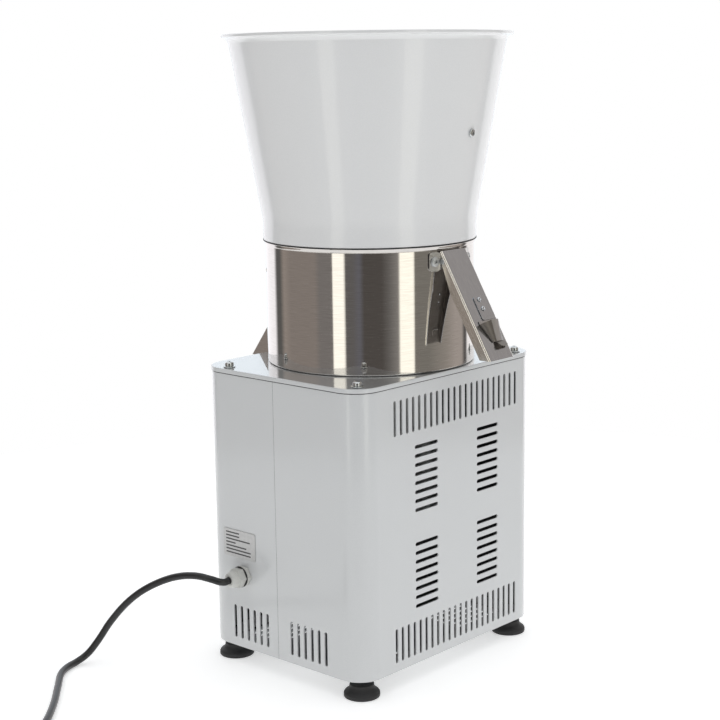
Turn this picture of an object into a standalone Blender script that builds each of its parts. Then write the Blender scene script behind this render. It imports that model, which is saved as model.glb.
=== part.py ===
"""Electric grain mill: a steel casing with a vertical motor, a stainless milling drum on top of it and a
painted feed hopper. Units are metres, +Z is up. The drum's axis is vertical, the cord leaves at +Y, the
switch is at -Y, the clamp lever is at -X and the meal outlet at +X."""

import math

import bmesh
import bpy
from mathutils import Matrix, Vector

# Clearances shared by every piece
GAP = 0.0003
OVERRUN = 0.002
EDGE_SMOOTH_DEG = 35

# Casing: two bent sheet shells round a rectangle with round corners
CASING_WIDTH = 0.240
CASING_DEPTH = 0.309
CASING_CORNER_RADIUS = 0.030
CASING_SHEET = 0.0015
CASING_BOTTOM_Z = 0.022
CASING_HEIGHT = 0.317
CASING_FLANGE = 0.026
FLANGE_INNER_RADIUS = 0.004
SEAM_X = 0.006
CORNER_SEGMENTS = 5
CASING_TOP_Z = CASING_BOTTOM_Z + CASING_HEIGHT

# Vent slots in the casing
SLOT_WIDTH = 0.0042
SLOT_PITCH = 0.0101
ROW_SLOT_LENGTH = 0.0390
ROW_COUNT = 22
ROW_FROM_EDGE = 0.0340
BLOCK_SLOT_LENGTH = 0.0390
BLOCK_COUNT = 8
BLOCK_SPREAD = 0.1082
VENT_CENTRE_Y = -0.0085
UPPER_BLOCK_TOP_FROM_EDGE = 0.0710
LOWER_BLOCK_BOTTOM_FROM_EDGE = 0.0660
LOW_ROW_FROM_EDGE = 0.0295
BACK_GROUP_COUNT = 6
BACK_GROUP_PITCH = 0.0104
BACK_GROUP_SPREAD = 0.0901
BACK_GROUP_MIDDLE_X = 0.0037

# Top cover, its gasket and its screws
COVER_SHEET = 0.0015
COVER_RIM_HEIGHT = 0.0047
COVER_OVERHANG = 0.0010
COVER_EDGE_RADIUS = 0.0012
COVER_EDGE_SEGMENTS = 1
SCREW_INSETS = {
    (-1, -1): (0.0122, 0.0255),
    (-1, 1): (0.0164, 0.0165),
    (1, -1): (0.0155, 0.0165),
    (1, 1): (0.0350, 0.0110),
}
COVER_SCREW_SHANK_RADIUS = 0.0025
COVER_SCREW_LENGTH = 0.0160
COVER_SCREW_HEAD_RADIUS = 0.0050
COVER_SCREW_HEAD_HEIGHT = 0.0056
COVER_SCREW_WASHER_RADIUS = 0.0068
COVER_SCREW_WASHER_HEIGHT = 0.0012
SCREW_CROWN = 0.0008
SCREW_SEGMENTS = 10
COVER_TOP_Z = CASING_TOP_Z + GAP + COVER_RIM_HEIGHT

# Bottom plate and feet
BOTTOM_SHEET = 0.0015
FOOT_INSET_X = 0.0216
FOOT_INSET_Y = 0.0228
FOOT_BASE_RADIUS = 0.0200
FOOT_TOP_RADIUS = 0.0135
FOOT_HEIGHT = 0.0150
FOOT_SOCKET_DEPTH = 0.0075
FOOT_SEGMENTS = 16
STUD_RADIUS = 0.0042
STUD_THREAD_RADIUS = 0.0030
STUD_THREAD_LENGTH = 0.0120
INLET_SLOT_COUNT = 5
INLET_SLOT_LENGTH = 0.0700
INLET_SLOT_PITCH = 0.0108
INLET_INSET_X = 0.0574
INLET_INSET_Y = 0.0685

# Milling drum, its floor and its sieve
DRUM_INSET = 0.0015
DRUM_RADIUS = CASING_WIDTH / 2 - DRUM_INSET
DRUM_WALL = 0.0012
DRUM_HEIGHT = 0.1377
DRUM_FLANGE = 0.0120
DRUM_LIP_STEP = 0.0020
DRUM_LIP_HEIGHT = 0.0040
DRUM_SEGMENTS = 40
FLOOR_SHEET = 0.0030
FLOOR_WALL = 0.0030
FLOOR_WALL_HEIGHT = 0.0424
FLOOR_PAD_RADIUS = 0.0600
SEAL_BOSS_RADIUS = 0.0260
SEAL_BOSS_HEIGHT = 0.0115
SEAL_RADIUS = 0.0170
SEAL_HEIGHT = 0.0090
SIEVE_SHEET = 0.0020
SIEVE_SLOT_COUNT = 16
SIEVE_SLOT_LENGTH = 0.058
SIEVE_SLOT_WIDTH = 0.0045
SIEVE_HUB_CLEARANCE = 0.0025
DRUM_BASE_Z = COVER_TOP_Z + GAP
DRUM_TOP_Z = DRUM_BASE_Z + DRUM_HEIGHT

# Outlet window and hood at +X
OUTLET_HALF_WIDTH = 0.0370
OUTLET_TOP_RISE = 0.0447
HOOD_TIP_REACH = 0.0386
HOOD_TIP_DROP = 0.0093
HOOD_SHEET = 0.0012
WINDOW_MARGIN = 0.0030
WINDOW_HEIGHT = 0.0330

# Hopper, its funnel and its guard
HOPPER_SHEET = 0.0012
HOPPER_COLLAR_RADIUS = DRUM_RADIUS + DRUM_LIP_STEP
HOPPER_COLLAR_HEIGHT = 0.0225
HOPPER_CONE_RADIUS = 0.1543
HOPPER_CONE_HEIGHT = 0.1950
HOPPER_RIM_RADIUS = 0.1617
HOPPER_RIM_HEIGHT = 0.0095
HOPPER_SEGMENTS = 40
FUNNEL_SHEET = 0.0015
FUNNEL_THROAT_RADIUS = 0.0450
FUNNEL_DROP = 0.0500
FUNNEL_THROAT_LENGTH = 0.0080
FUNNEL_SPIGOT_LENGTH = 0.0120
GUARD_HEIGHT_ABOVE_DRUM = 0.1117
GUARD_SHEET = 0.0020
GUARD_RING_RADIUS = 0.0700
GUARD_BAR_WIDTH = 0.0120
GUARD_SEGMENTS = 24
GUARD_EDGE_CLEARANCE = 0.0015
GUARD_TAB_WIDTH = 0.0200
GUARD_TAB_HEIGHT = 0.0160
GUARD_SCREW_AZIMUTH_DEG = 185
GUARD_SCREW_SHANK_RADIUS = 0.0020
GUARD_SCREW_HEAD_RADIUS = 0.0048
GUARD_SCREW_HEAD_HEIGHT = 0.0028
GUARD_SCREW_LENGTH = 0.0090

# Clamp lever, its bracket and its spring catch
LEVER_ANGLE_DEG = 30.2
LEVER_SIDE_OFFSET = -0.0006
LEVER_WIDTH = 0.0428
LEVER_SHEET = 0.0012
LEVER_DEPTH = 0.0120
LEVER_PIN_TO_FACE = 0.0042
LEVER_ABOVE_PIN = 0.0105
LEVER_BELOW_PIN = 0.1208
LEVER_TAPER_LENGTH = 0.0340
LEVER_PIN_STANDOFF = 0.0047
LEVER_PIN_BELOW_DRUM_TOP = 0.0165
LEVER_PIN_RADIUS = 0.0015
LEVER_PIN_HEAD_RADIUS = 0.0028
LEVER_PIN_HEAD_LENGTH = 0.0008
BRACKET_SHEET = 0.0012
BRACKET_EAR_WIDTH = 0.0124
BRACKET_EAR_HEIGHT = 0.0210
BRACKET_BASE_HEIGHT = 0.0175
LUG_ARC_DEG = 150
LUG_ARC_STEPS = 8
BRACKET_SCREW_SHANK_RADIUS = 0.0021
BRACKET_SCREW_HEAD_RADIUS = 0.0052
BRACKET_SCREW_HEAD_HEIGHT = 0.0030
BRACKET_SCREW_LENGTH = 0.0080
CATCH_SHEET = 0.0008
CATCH_TOP_BELOW_PIN = 0.0469
CATCH_PLATE_LENGTH = 0.0281
CATCH_PLATE_WIDTH = 0.0254
CATCH_PLATE_SIDE_OFFSET = -0.0085
CATCH_RIVET_RADIUS = 0.0014
CATCH_RIVET_HEAD_RADIUS = 0.0027
CATCH_RIVET_HEAD_HEIGHT = 0.0011
CATCH_RIVET_SPACING = 0.0108
CATCH_RIVET_SIDE_OFFSET = -0.0036
CATCH_RIVET_FROM_TOP = 0.0042
TONGUE_WIDTH = 0.0160
TONGUE_SIDE_OFFSET = -0.0055
TONGUE_ROOT_LENGTH = 0.0035
TONGUE_TIP_LENGTH = 0.0070
TONGUE_DIP = 0.0050
CONE_LEFT_WIDTH = 0.0180
CONE_RIGHT_WIDTH = 0.0090
CONE_FOOT_LEFT_WIDTH = 0.0095
CONE_HEIGHT = 0.0110
CONE_LENGTH = 0.0220
CONE_STEPS = 8
WINDOW_CLEARANCE = 0.0008

# Motor, shaft and bearings
MOUNT_PLATE_CLEARANCE = 0.0060
MOUNT_PLATE_RADIUS = CASING_WIDTH / 2 - CASING_FLANGE - MOUNT_PLATE_CLEARANCE
MOUNT_PLATE_HEIGHT = 0.0080
MOUNT_BOLT_CIRCLE_RADIUS = 0.0450
MOUNT_BOLT_COUNT = 3
MOUNT_BOLT_SHANK_RADIUS = 0.0040
MOUNT_BOLT_HEAD_RADIUS = 0.0068
MOUNT_BOLT_HEAD_HEIGHT = 0.0050
MOUNT_BOLT_THREAD_PAST = 0.0040
MOTOR_RADIUS = 0.0750
MOTOR_WALL = 0.0050
MOTOR_HEIGHT = 0.1820
MOTOR_HEAD_HEIGHT = 0.0060
MOTOR_SEGMENTS = 28
BEARING_RADIUS = 0.0235
BEARING_HEIGHT = 0.0140
BEARING_BOSS_WALL = 0.0060
BEARING_LIP_RADIUS = 0.0140
BEARING_LIP_HEIGHT = 0.0034
END_BELL_HEIGHT = 0.0057
END_BELL_BOSS_DROP = 0.0080
STATOR_BORE_RADIUS = 0.0430
STATOR_HEIGHT = 0.0900
STATOR_ABOVE_END = 0.0380
ROTOR_AIR_GAP = 0.0008
SHAFT_RADIUS = 0.0100
SHAFT_SHOULDER_RADIUS = 0.0125
SHAFT_TOP_RADIUS = 0.0080
SHAFT_SEGMENTS = 18
FAN_RADIUS = 0.0600
FAN_HUB_RADIUS = 0.0160
FAN_HEIGHT = 0.0140
FAN_BLADES = 8
FAN_BLADE_SHEET = 0.0025
FAN_BELOW_END_BELL = 0.0030
CAPACITOR_RADIUS = 0.0200
CAPACITOR_HEIGHT = 0.0700
CAPACITOR_X = 0.0550
CAPACITOR_Y = -0.0850
CAPACITOR_EDGE = 0.0020

# Milling tools on the shaft
SWEEPER_HUB_RADIUS = 0.0180
SWEEPER_INSET = 0.0125
SWEEPER_RADIUS = DRUM_RADIUS - SWEEPER_INSET
SWEEPER_VANES = 4
SWEEPER_VANE_SHEET = 0.0040
SWEEPER_VANE_HEIGHT = 0.0240
SWEEPER_HUB_HEIGHT = 0.0385
SWEEPER_ABOVE_BOSS = 0.0010
KNIFE_INSET = 0.0145
KNIFE_RADIUS = DRUM_RADIUS - KNIFE_INSET
KNIFE_SHEET = 0.0040
KNIFE_ROOT_RADIUS = 0.0220
KNIFE_TIP_WIDTH = 0.0240
NUT_RADIUS = 0.0130
NUT_HEIGHT = 0.0080
SHAFT_TIP_PAST_NUT = 0.0030

# Cable gland, rating plate and switch
GLAND_FROM_EDGE = 0.0620
GLAND_X = CASING_WIDTH / 2 - GLAND_FROM_EDGE
GLAND_Z = 0.1090
GLAND_HEX_RADIUS = 0.0122
GLAND_HEX_LENGTH = 0.0068
GLAND_SHANK_RADIUS = 0.0075
GLAND_SHANK_LENGTH = 0.0120
GLAND_NUT_HEX_RADIUS = 0.0116
GLAND_NUT_HEX_LENGTH = 0.0085
GLAND_DOME_LENGTH = 0.0085
GLAND_DOME_RADIUS = 0.0095
GLAND_MOUTH_RADIUS = 0.0064
GLAND_SEGMENTS = 18
PLATE_WIDTH = 0.0510
PLATE_HEIGHT = 0.0320
PLATE_SHEET = 0.0005
PLATE_FROM_EDGE = 0.0555
PLATE_X = CASING_WIDTH / 2 - PLATE_FROM_EDGE
PLATE_Z = 0.1440
SWITCH_FROM_EDGE = 0.0600
SWITCH_X = CASING_WIDTH / 2 - SWITCH_FROM_EDGE
SWITCH_Z = 0.2550
SWITCH_BEZEL_WIDTH = 0.0260
SWITCH_BEZEL_HEIGHT = 0.0360
SWITCH_BEZEL_SHEET = 0.0025
SWITCH_BODY_WIDTH = 0.0220
SWITCH_BODY_HEIGHT = 0.0310
SWITCH_BODY_DEPTH = 0.0240
SWITCH_WALL = 0.0016
ROCKER_CLEARANCE = 0.0004
ROCKER_TILT_DEG = 8
ROCKER_AXIS_DEPTH = 0.0030
ROCKER_LOBE = 0.0055
ROCKER_VALLEY = 0.0032
ROCKER_ROOT_DEPTH = 0.0040
ROCKER_END_CLEARANCE = 0.0011
SWITCH_POCKET_DEPTH = 0.0140

# Mains cord, its coil and its plug
CORD_DIAMETER = 0.0080
CORD_RADIUS = CORD_DIAMETER / 2
CORD_SPACING = 2.5 * CORD_DIAMETER
CURVE_STEPS = 24
COIL_TURNS = 4
COIL_POINTS_PER_TURN = 24
COIL_MIDDLE_RADIUS = 0.0430
COIL_PITCH = 0.0087
COIL_CENTRE = (-0.0660, 0.3305)
COIL_START_DEG = 20
PLUG_REAR_RADIUS = 0.0075
PLUG_FACE_RADIUS = 0.0185
PLUG_RELIEF_LENGTH = 0.0160
PLUG_BODY_LENGTH = 0.0340
PLUG_PIN_RADIUS = 0.0024
PLUG_PIN_LENGTH = 0.0190
PLUG_PIN_SPACING = 0.0190
PLUG_SEGMENTS = 18

# Route of the free cord, chosen by hand: across and out from the gland's middle on the wall, then the height
CORD_ROUTE = [
    (0.0000, 0.0248, 0.1090),
    (0.0000, 0.0328, 0.1090),
    (0.0110, 0.0425, 0.1130),
    (0.0306, 0.0505, 0.1150),
    (0.0570, 0.0605, 0.1090),
    (0.0829, 0.0751, 0.0950),
    (0.1070, 0.0845, 0.0750),
    (0.1276, 0.0929, 0.0500),
    (0.1380, 0.1015, 0.0300),
    (0.1465, 0.1105, 0.0140),
    (0.1510, 0.1215, 0.0062),
    (0.1500, 0.1355, 0.0045),
    (0.1380, 0.1575, 0.0045),
    (0.1100, 0.1835, 0.0045),
    (0.0750, 0.2155, 0.0045),
    (0.0420, 0.2505, 0.0045),
    (0.0120, 0.2905, 0.0045),
]


def remove_everything():
    """Empties the scene and the meshes, curves and materials it leaves behind."""
    for existing in list(bpy.data.objects):
        bpy.data.objects.remove(existing, do_unlink=True)
    for store in (bpy.data.meshes, bpy.data.curves, bpy.data.materials):
        for existing in list(store):
            store.remove(existing)


def make_material(name, colour, roughness, metallic):
    """A Principled material of one colour."""
    made = bpy.data.materials.new(name)
    made.use_nodes = True
    shader = made.node_tree.nodes["Principled BSDF"]
    shader.inputs["Base Color"].default_value = (*colour, 1)
    shader.inputs["Roughness"].default_value = roughness
    shader.inputs["Metallic"].default_value = metallic
    made.diffuse_color = (*colour, 1)
    return made


# Finishes: colour, roughness and metallic value
FINISHES = {
    "white_paint": ((0.80, 0.81, 0.80), 0.25, 0),
    "stainless": ((0.55, 0.54, 0.52), 0.28, 1),
    "zinc": ((0.62, 0.64, 0.66), 0.35, 1),
    "cast_aluminium": ((0.60, 0.61, 0.62), 0.50, 1),
    "laminations": ((0.22, 0.22, 0.23), 0.60, 1),
    "tool_steel": ((0.40, 0.40, 0.41), 0.30, 1),
    "black_rubber": ((0.02, 0.02, 0.02), 0.60, 0),
    "grey_plastic": ((0.62, 0.63, 0.62), 0.45, 0),
    "black_plastic": ((0.03, 0.03, 0.03), 0.40, 0),
    "red_plastic": ((0.55, 0.03, 0.02), 0.35, 0),
    "capacitor_white": ((0.75, 0.75, 0.73), 0.50, 0),
    "plate_silver": ((0.70, 0.71, 0.70), 0.40, 0),
}


def link(obj, finish, parent):
    """Gives an object its own material and its parent."""
    colour, roughness, metallic = FINISHES[finish]
    obj.data.materials.append(make_material(obj.name, colour, roughness, metallic))
    bpy.context.scene.collection.objects.link(obj)
    obj.parent = parent
    return obj


def mesh_object(name, bm, finish, parent):
    """Turns a bmesh into a named piece with smooth round sides."""
    bmesh.ops.recalc_face_normals(bm, faces=bm.faces)
    mesh = bpy.data.meshes.new(name)
    bm.to_mesh(mesh)
    bm.free()
    mesh.shade_smooth()
    mesh.set_sharp_from_angle(angle=math.radians(EDGE_SMOOTH_DEG))
    return link(bpy.data.objects.new(name, mesh), finish, parent)


def helper_object(name, bm, parent):
    """Turns a bmesh into a cutter or a joined shape, which isn't a piece itself."""
    bmesh.ops.recalc_face_normals(bm, faces=bm.faces)
    mesh = bpy.data.meshes.new(name)
    bm.to_mesh(mesh)
    bm.free()
    obj = bpy.data.objects.new(name, mesh)
    bpy.context.scene.collection.objects.link(obj)
    obj.parent = parent
    obj.hide_render = True
    obj.display_type = "WIRE"
    return obj


def combine(piece, helper, operation):
    """Joins a helper to a piece, or cuts it out."""
    step = piece.modifiers.new(helper.name, "BOOLEAN")
    step.operation = operation
    step.solver = "EXACT"
    step.object = helper


def cut(piece, *helpers):
    """Cuts each helper out of a piece."""
    for helper in helpers:
        combine(piece, helper, "DIFFERENCE")


def make_empty(name, parent, location, rotation=(0, 0, 0)):
    """An empty that carries the pieces of one joint."""
    empty = bpy.data.objects.new(name, None)
    bpy.context.scene.collection.objects.link(empty)
    empty.parent = parent
    empty.location = location
    empty.rotation_euler = rotation
    return empty


def along(axis):
    """The turn that lays +Z along a horizontal axis."""
    if axis == "X":
        return Matrix.Rotation(math.radians(90), 4, "Y")
    return Matrix.Rotation(math.radians(-90), 4, "X")


def add_loops(bm, loops, closed_ring=True, caps=True):
    """Bridges loops of equally many points into one skin. Closed loops get end faces."""
    rows = [[bm.verts.new(point) for point in loop] for loop in loops]
    count = len(rows[0])
    steps = count if closed_ring else count - 1
    for lower, upper in zip(rows, rows[1:]):
        for i in range(steps):
            j = (i + 1) % count
            bm.faces.new((lower[i], lower[j], upper[j], upper[i]))
    if caps:
        bm.faces.new(list(reversed(rows[0])))
        bm.faces.new(rows[-1])
    return rows


def add_prism(bm, outline, low, high, matrix=None):
    """An outline in X and Y, extruded from low to high along Z, then moved by a matrix."""
    place = matrix or Matrix.Identity(4)
    add_loops(bm, [[place @ Vector((x, y, z)) for x, y in outline] for z in (low, high)])


def add_box(bm, low, high, matrix=None):
    """A box between two corners."""
    outline = [(low[0], low[1]), (high[0], low[1]), (high[0], high[1]), (low[0], high[1])]
    add_prism(bm, outline, low[2], high[2], matrix)


def add_turned(bm, profile, segments, matrix=None):
    """Turns a closed profile of (radius, height) points about Z. Points on the axis make poles."""
    place = matrix or Matrix.Identity(4)
    rings = []
    for radius, height in profile:
        if radius == 0:
            rings.append([bm.verts.new(place @ Vector((0, 0, height)))])
            continue
        ring = []
        for i in range(segments):
            angle = math.tau * i / segments
            point = Vector((radius * math.cos(angle), radius * math.sin(angle), height))
            ring.append(bm.verts.new(place @ point))
        rings.append(ring)
    for a, b in zip(rings, rings[1:] + rings[:1]):
        if len(a) == 1 and len(b) == 1:
            continue
        for i in range(segments):
            j = (i + 1) % segments
            if len(a) == 1:
                bm.faces.new((a[0], b[i], b[j]))
            elif len(b) == 1:
                bm.faces.new((a[i], b[0], a[j]))
            else:
                bm.faces.new((a[i], b[i], b[j], a[j]))


def add_rod(bm, radius, low, high, segments, matrix=None):
    """A plain round bar along Z."""
    add_turned(bm, [(0, low), (radius, low), (radius, high), (0, high)], segments, matrix)


def circle(radius, segments, start_deg=0):
    """Points of a circle, or of a regular polygon."""
    turn = math.radians(start_deg)
    return [
        (radius * math.cos(turn + math.tau * i / segments), radius * math.sin(turn + math.tau * i / segments))
        for i in range(segments)
    ]


def rounded_rectangle(half_width, half_depth, radius, segments=CORNER_SEGMENTS):
    """Points of a rectangle with round corners, anticlockwise from the corner at +X +Y."""
    points = []
    for quarter, (side_x, side_y) in enumerate(((1, 1), (-1, 1), (-1, -1), (1, -1))):
        for i in range(segments + 1):
            angle = math.radians(90) * (quarter + i / segments)
            x = side_x * (half_width - radius) + radius * math.cos(angle)
            y = side_y * (half_depth - radius) + radius * math.sin(angle)
            points.append((x, y))
    return points


def slot_outline(length, width):
    """A narrow slot along Y."""
    half = width / 2
    end = length / 2
    return [(half, -end), (half, end), (-half, end), (-half, -end)]


def screw_profile(shank_radius, length, head_radius, head_height, washer_radius=0, washer_height=0):
    """A pan head screw that points down, its head's underside at zero."""
    profile = [(0, -length), (shank_radius, -length), (shank_radius, 0)]
    if washer_radius:
        profile += [(washer_radius, 0), (washer_radius, washer_height)]
    top = washer_height + head_height
    profile += [(head_radius, washer_height), (head_radius, top - SCREW_CROWN), (0, top)]
    return profile


# Places that several pieces share
FLANGE_Z = CASING_BOTTOM_Z + BOTTOM_SHEET + GAP
FLOOR_Z = DRUM_BASE_Z + DRUM_WALL + GAP
FLOOR_TOP_Z = FLOOR_Z + FLOOR_SHEET
SIEVE_Z = FLOOR_Z + FLOOR_WALL_HEIGHT + GAP
BOSS_TOP_Z = DRUM_BASE_Z + SEAL_BOSS_HEIGHT
SWEEPER_Z = BOSS_TOP_Z + SWEEPER_ABOVE_BOSS
KNIFE_Z = SWEEPER_Z + SWEEPER_HUB_HEIGHT + GAP
KNIFE_NUT_Z = KNIFE_Z + KNIFE_SHEET + GAP
MOUNT_PLATE_TOP_Z = COVER_TOP_Z - COVER_SHEET - GAP
MOUNT_PLATE_Z = MOUNT_PLATE_TOP_Z - MOUNT_PLATE_HEIGHT
MOTOR_TOP_Z = MOUNT_PLATE_Z - GAP
MOTOR_Z = MOTOR_TOP_Z - MOTOR_HEIGHT
END_BELL_TOP_Z = MOTOR_Z - GAP
END_BELL_Z = END_BELL_TOP_Z - END_BELL_HEIGHT
END_BOSS_Z = END_BELL_Z - END_BELL_BOSS_DROP
STATOR_Z = MOTOR_Z + STATOR_ABOVE_END
HOPPER_Z = DRUM_TOP_Z + GAP
HOPPER_CONE_Z = HOPPER_Z + HOPPER_COLLAR_HEIGHT
HOPPER_CONE_TOP_Z = HOPPER_CONE_Z + HOPPER_CONE_HEIGHT
GUARD_Z = DRUM_TOP_Z + GUARD_HEIGHT_ABOVE_DRUM
OUTLET_TOP_Z = DRUM_BASE_Z + OUTLET_TOP_RISE
HOOD_TIP_X = CASING_WIDTH / 2 + HOOD_TIP_REACH
HOOD_TIP_Z = DRUM_BASE_Z - HOOD_TIP_DROP
LEVER_PIN_X = -(DRUM_RADIUS + LEVER_PIN_STANDOFF)
LEVER_PIN_Z = DRUM_TOP_Z - LEVER_PIN_BELOW_DRUM_TOP
WALL_BACK_Y = CASING_DEPTH / 2
CORD_ORIGIN = Vector((GLAND_X, WALL_BACK_Y, 0))
SCREW_PLACES = [
    (side_x * (CASING_WIDTH / 2 - inset_x), side_y * (CASING_DEPTH / 2 - inset_y))
    for (side_x, side_y), (inset_x, inset_y) in SCREW_INSETS.items()
]
FOOT_PLACES = [
    (side_x * (CASING_WIDTH / 2 - FOOT_INSET_X), side_y * (CASING_DEPTH / 2 - FOOT_INSET_Y))
    for side_x in (-1, 1)
    for side_y in (-1, 1)
]
BOLT_PLACES = [
    (
        MOUNT_BOLT_CIRCLE_RADIUS * math.cos(math.tau * i / MOUNT_BOLT_COUNT),
        MOUNT_BOLT_CIRCLE_RADIUS * math.sin(math.tau * i / MOUNT_BOLT_COUNT),
    )
    for i in range(MOUNT_BOLT_COUNT)
]


def hole_cutter(name, places, radius, low, high, parent, segments=SCREW_SEGMENTS):
    """Round holes along Z at several places."""
    bm = bmesh.new()
    for x, y in places:
        add_rod(bm, radius, low - OVERRUN, high + OVERRUN, segments, Matrix.Translation((x, y, 0)))
    return helper_object(name, bm, parent)


def half_outline(side, inset, radius):
    """Half of the casing's outline, drawn in by an inset, from the back seam round to the front seam."""
    half_width = CASING_WIDTH / 2 - inset
    half_depth = CASING_DEPTH / 2 - inset
    seam = SEAM_X + side * GAP / 2
    points = [(seam, half_depth)]
    for side_y, first in ((1, 90), (-1, 180)):
        for i in range(CORNER_SEGMENTS + 1):
            angle = math.radians(first + 90 * i / CORNER_SEGMENTS)
            x = half_width - radius - radius * math.cos(angle)
            y = side_y * (half_depth - radius) + radius * math.sin(angle)
            points.append((side * x, y))
    points.append((seam, -half_depth))
    return points


def casing_shell(name, side, parent):
    """One bent shell: a wall with a flange turned in at the top and one above the bottom plate."""
    wall_radius = CASING_CORNER_RADIUS
    inner_radius = CASING_CORNER_RADIUS - CASING_SHEET
    section = [
        (0, wall_radius, CASING_BOTTOM_Z),
        (0, wall_radius, CASING_TOP_Z),
        (CASING_FLANGE, FLANGE_INNER_RADIUS, CASING_TOP_Z),
        (CASING_FLANGE, FLANGE_INNER_RADIUS, CASING_TOP_Z - CASING_SHEET),
        (CASING_SHEET, inner_radius, CASING_TOP_Z - CASING_SHEET),
        (CASING_SHEET, inner_radius, FLANGE_Z + CASING_SHEET),
        (CASING_FLANGE, FLANGE_INNER_RADIUS, FLANGE_Z + CASING_SHEET),
        (CASING_FLANGE, FLANGE_INNER_RADIUS, FLANGE_Z),
        (CASING_SHEET, inner_radius, FLANGE_Z),
        (CASING_SHEET, inner_radius, CASING_BOTTOM_Z),
    ]
    rows = [[(x, y, z) for x, y in half_outline(side, inset, radius)] for inset, radius, z in section]
    stations = [[row[i] for row in rows] for i in range(len(rows[0]))]
    bm = bmesh.new()
    add_loops(bm, stations)
    return mesh_object(name, bm, "white_paint", parent)


def slot_places(wall_side):
    """Centre, in Y and Z, and upright or lying, of each slot in a side wall."""
    top_row = CASING_TOP_Z - ROW_FROM_EDGE
    low_row = CASING_BOTTOM_Z + LOW_ROW_FROM_EDGE
    row = [VENT_CENTRE_Y + (i - (ROW_COUNT - 1) / 2) * SLOT_PITCH for i in range(ROW_COUNT)]
    places = [(y, low_row, True) for y in row]
    if wall_side > 0:
        return places
    places += [(y, top_row, True) for y in row]
    for i in range(BLOCK_COUNT):
        upper = CASING_TOP_Z - UPPER_BLOCK_TOP_FROM_EDGE - i * SLOT_PITCH
        lower = CASING_BOTTOM_Z + LOWER_BLOCK_BOTTOM_FROM_EDGE + i * SLOT_PITCH
        for side in (-1, 1):
            y = VENT_CENTRE_Y + side * BLOCK_SPREAD / 2
            places.append((y, upper, False))
            places.append((y, lower, False))
    return places


def side_vent_cutter(side, parent):
    """The slots of one side wall. The outlet's side has the low row alone."""
    upright = slot_outline(ROW_SLOT_LENGTH, SLOT_WIDTH)
    lying = [(y, x) for x, y in reversed(slot_outline(BLOCK_SLOT_LENGTH, SLOT_WIDTH))]
    near = CASING_WIDTH / 2 - CASING_SHEET - OVERRUN
    far = CASING_WIDTH / 2 + OVERRUN
    bm = bmesh.new()
    for y, z, is_upright in slot_places(side):
        outline = upright if is_upright else lying
        loops = [[(side * x, y + across, z + up) for across, up in outline] for x in (near, far)]
        add_loops(bm, loops)
    return helper_object(f"vents_{'right' if side > 0 else 'left'}", bm, parent)


def back_vent_cutter(parent):
    """The two groups of low slots in the back wall."""
    outline = slot_outline(ROW_SLOT_LENGTH, SLOT_WIDTH)
    z = CASING_BOTTOM_Z + LOW_ROW_FROM_EDGE
    near = CASING_DEPTH / 2 - CASING_SHEET - OVERRUN
    far = CASING_DEPTH / 2 + OVERRUN
    bm = bmesh.new()
    for group in (-1, 1):
        for i in range(BACK_GROUP_COUNT):
            x = BACK_GROUP_MIDDLE_X + group * BACK_GROUP_SPREAD / 2
            x += (i - (BACK_GROUP_COUNT - 1) / 2) * BACK_GROUP_PITCH
            add_loops(bm, [[(x + across, y, z + up) for across, up in outline] for y in (near, far)])
    return helper_object("vents_back", bm, parent)


def make_casing(mill):
    """Both shells with their vents and holes, the bottom plate and the feet."""
    left = casing_shell("casing_left_shell", -1, mill)
    right = casing_shell("casing_right_shell", 1, mill)
    back = back_vent_cutter(mill)
    screw_holes = hole_cutter(
        "cover_screw_holes", SCREW_PLACES, COVER_SCREW_SHANK_RADIUS + GAP,
        CASING_TOP_Z - CASING_SHEET, COVER_TOP_Z, mill,
    )
    stud_holes = hole_cutter(
        "foot_stud_holes", FOOT_PLACES, STUD_THREAD_RADIUS + GAP,
        CASING_BOTTOM_Z, FLANGE_Z + CASING_SHEET, mill,
    )
    cut(left, side_vent_cutter(-1, mill), back, screw_holes, stud_holes)
    cut(right, side_vent_cutter(1, mill), back, screw_holes, stud_holes)
    make_bottom(mill, stud_holes)
    make_top_cover(mill, screw_holes)
    return right


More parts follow.
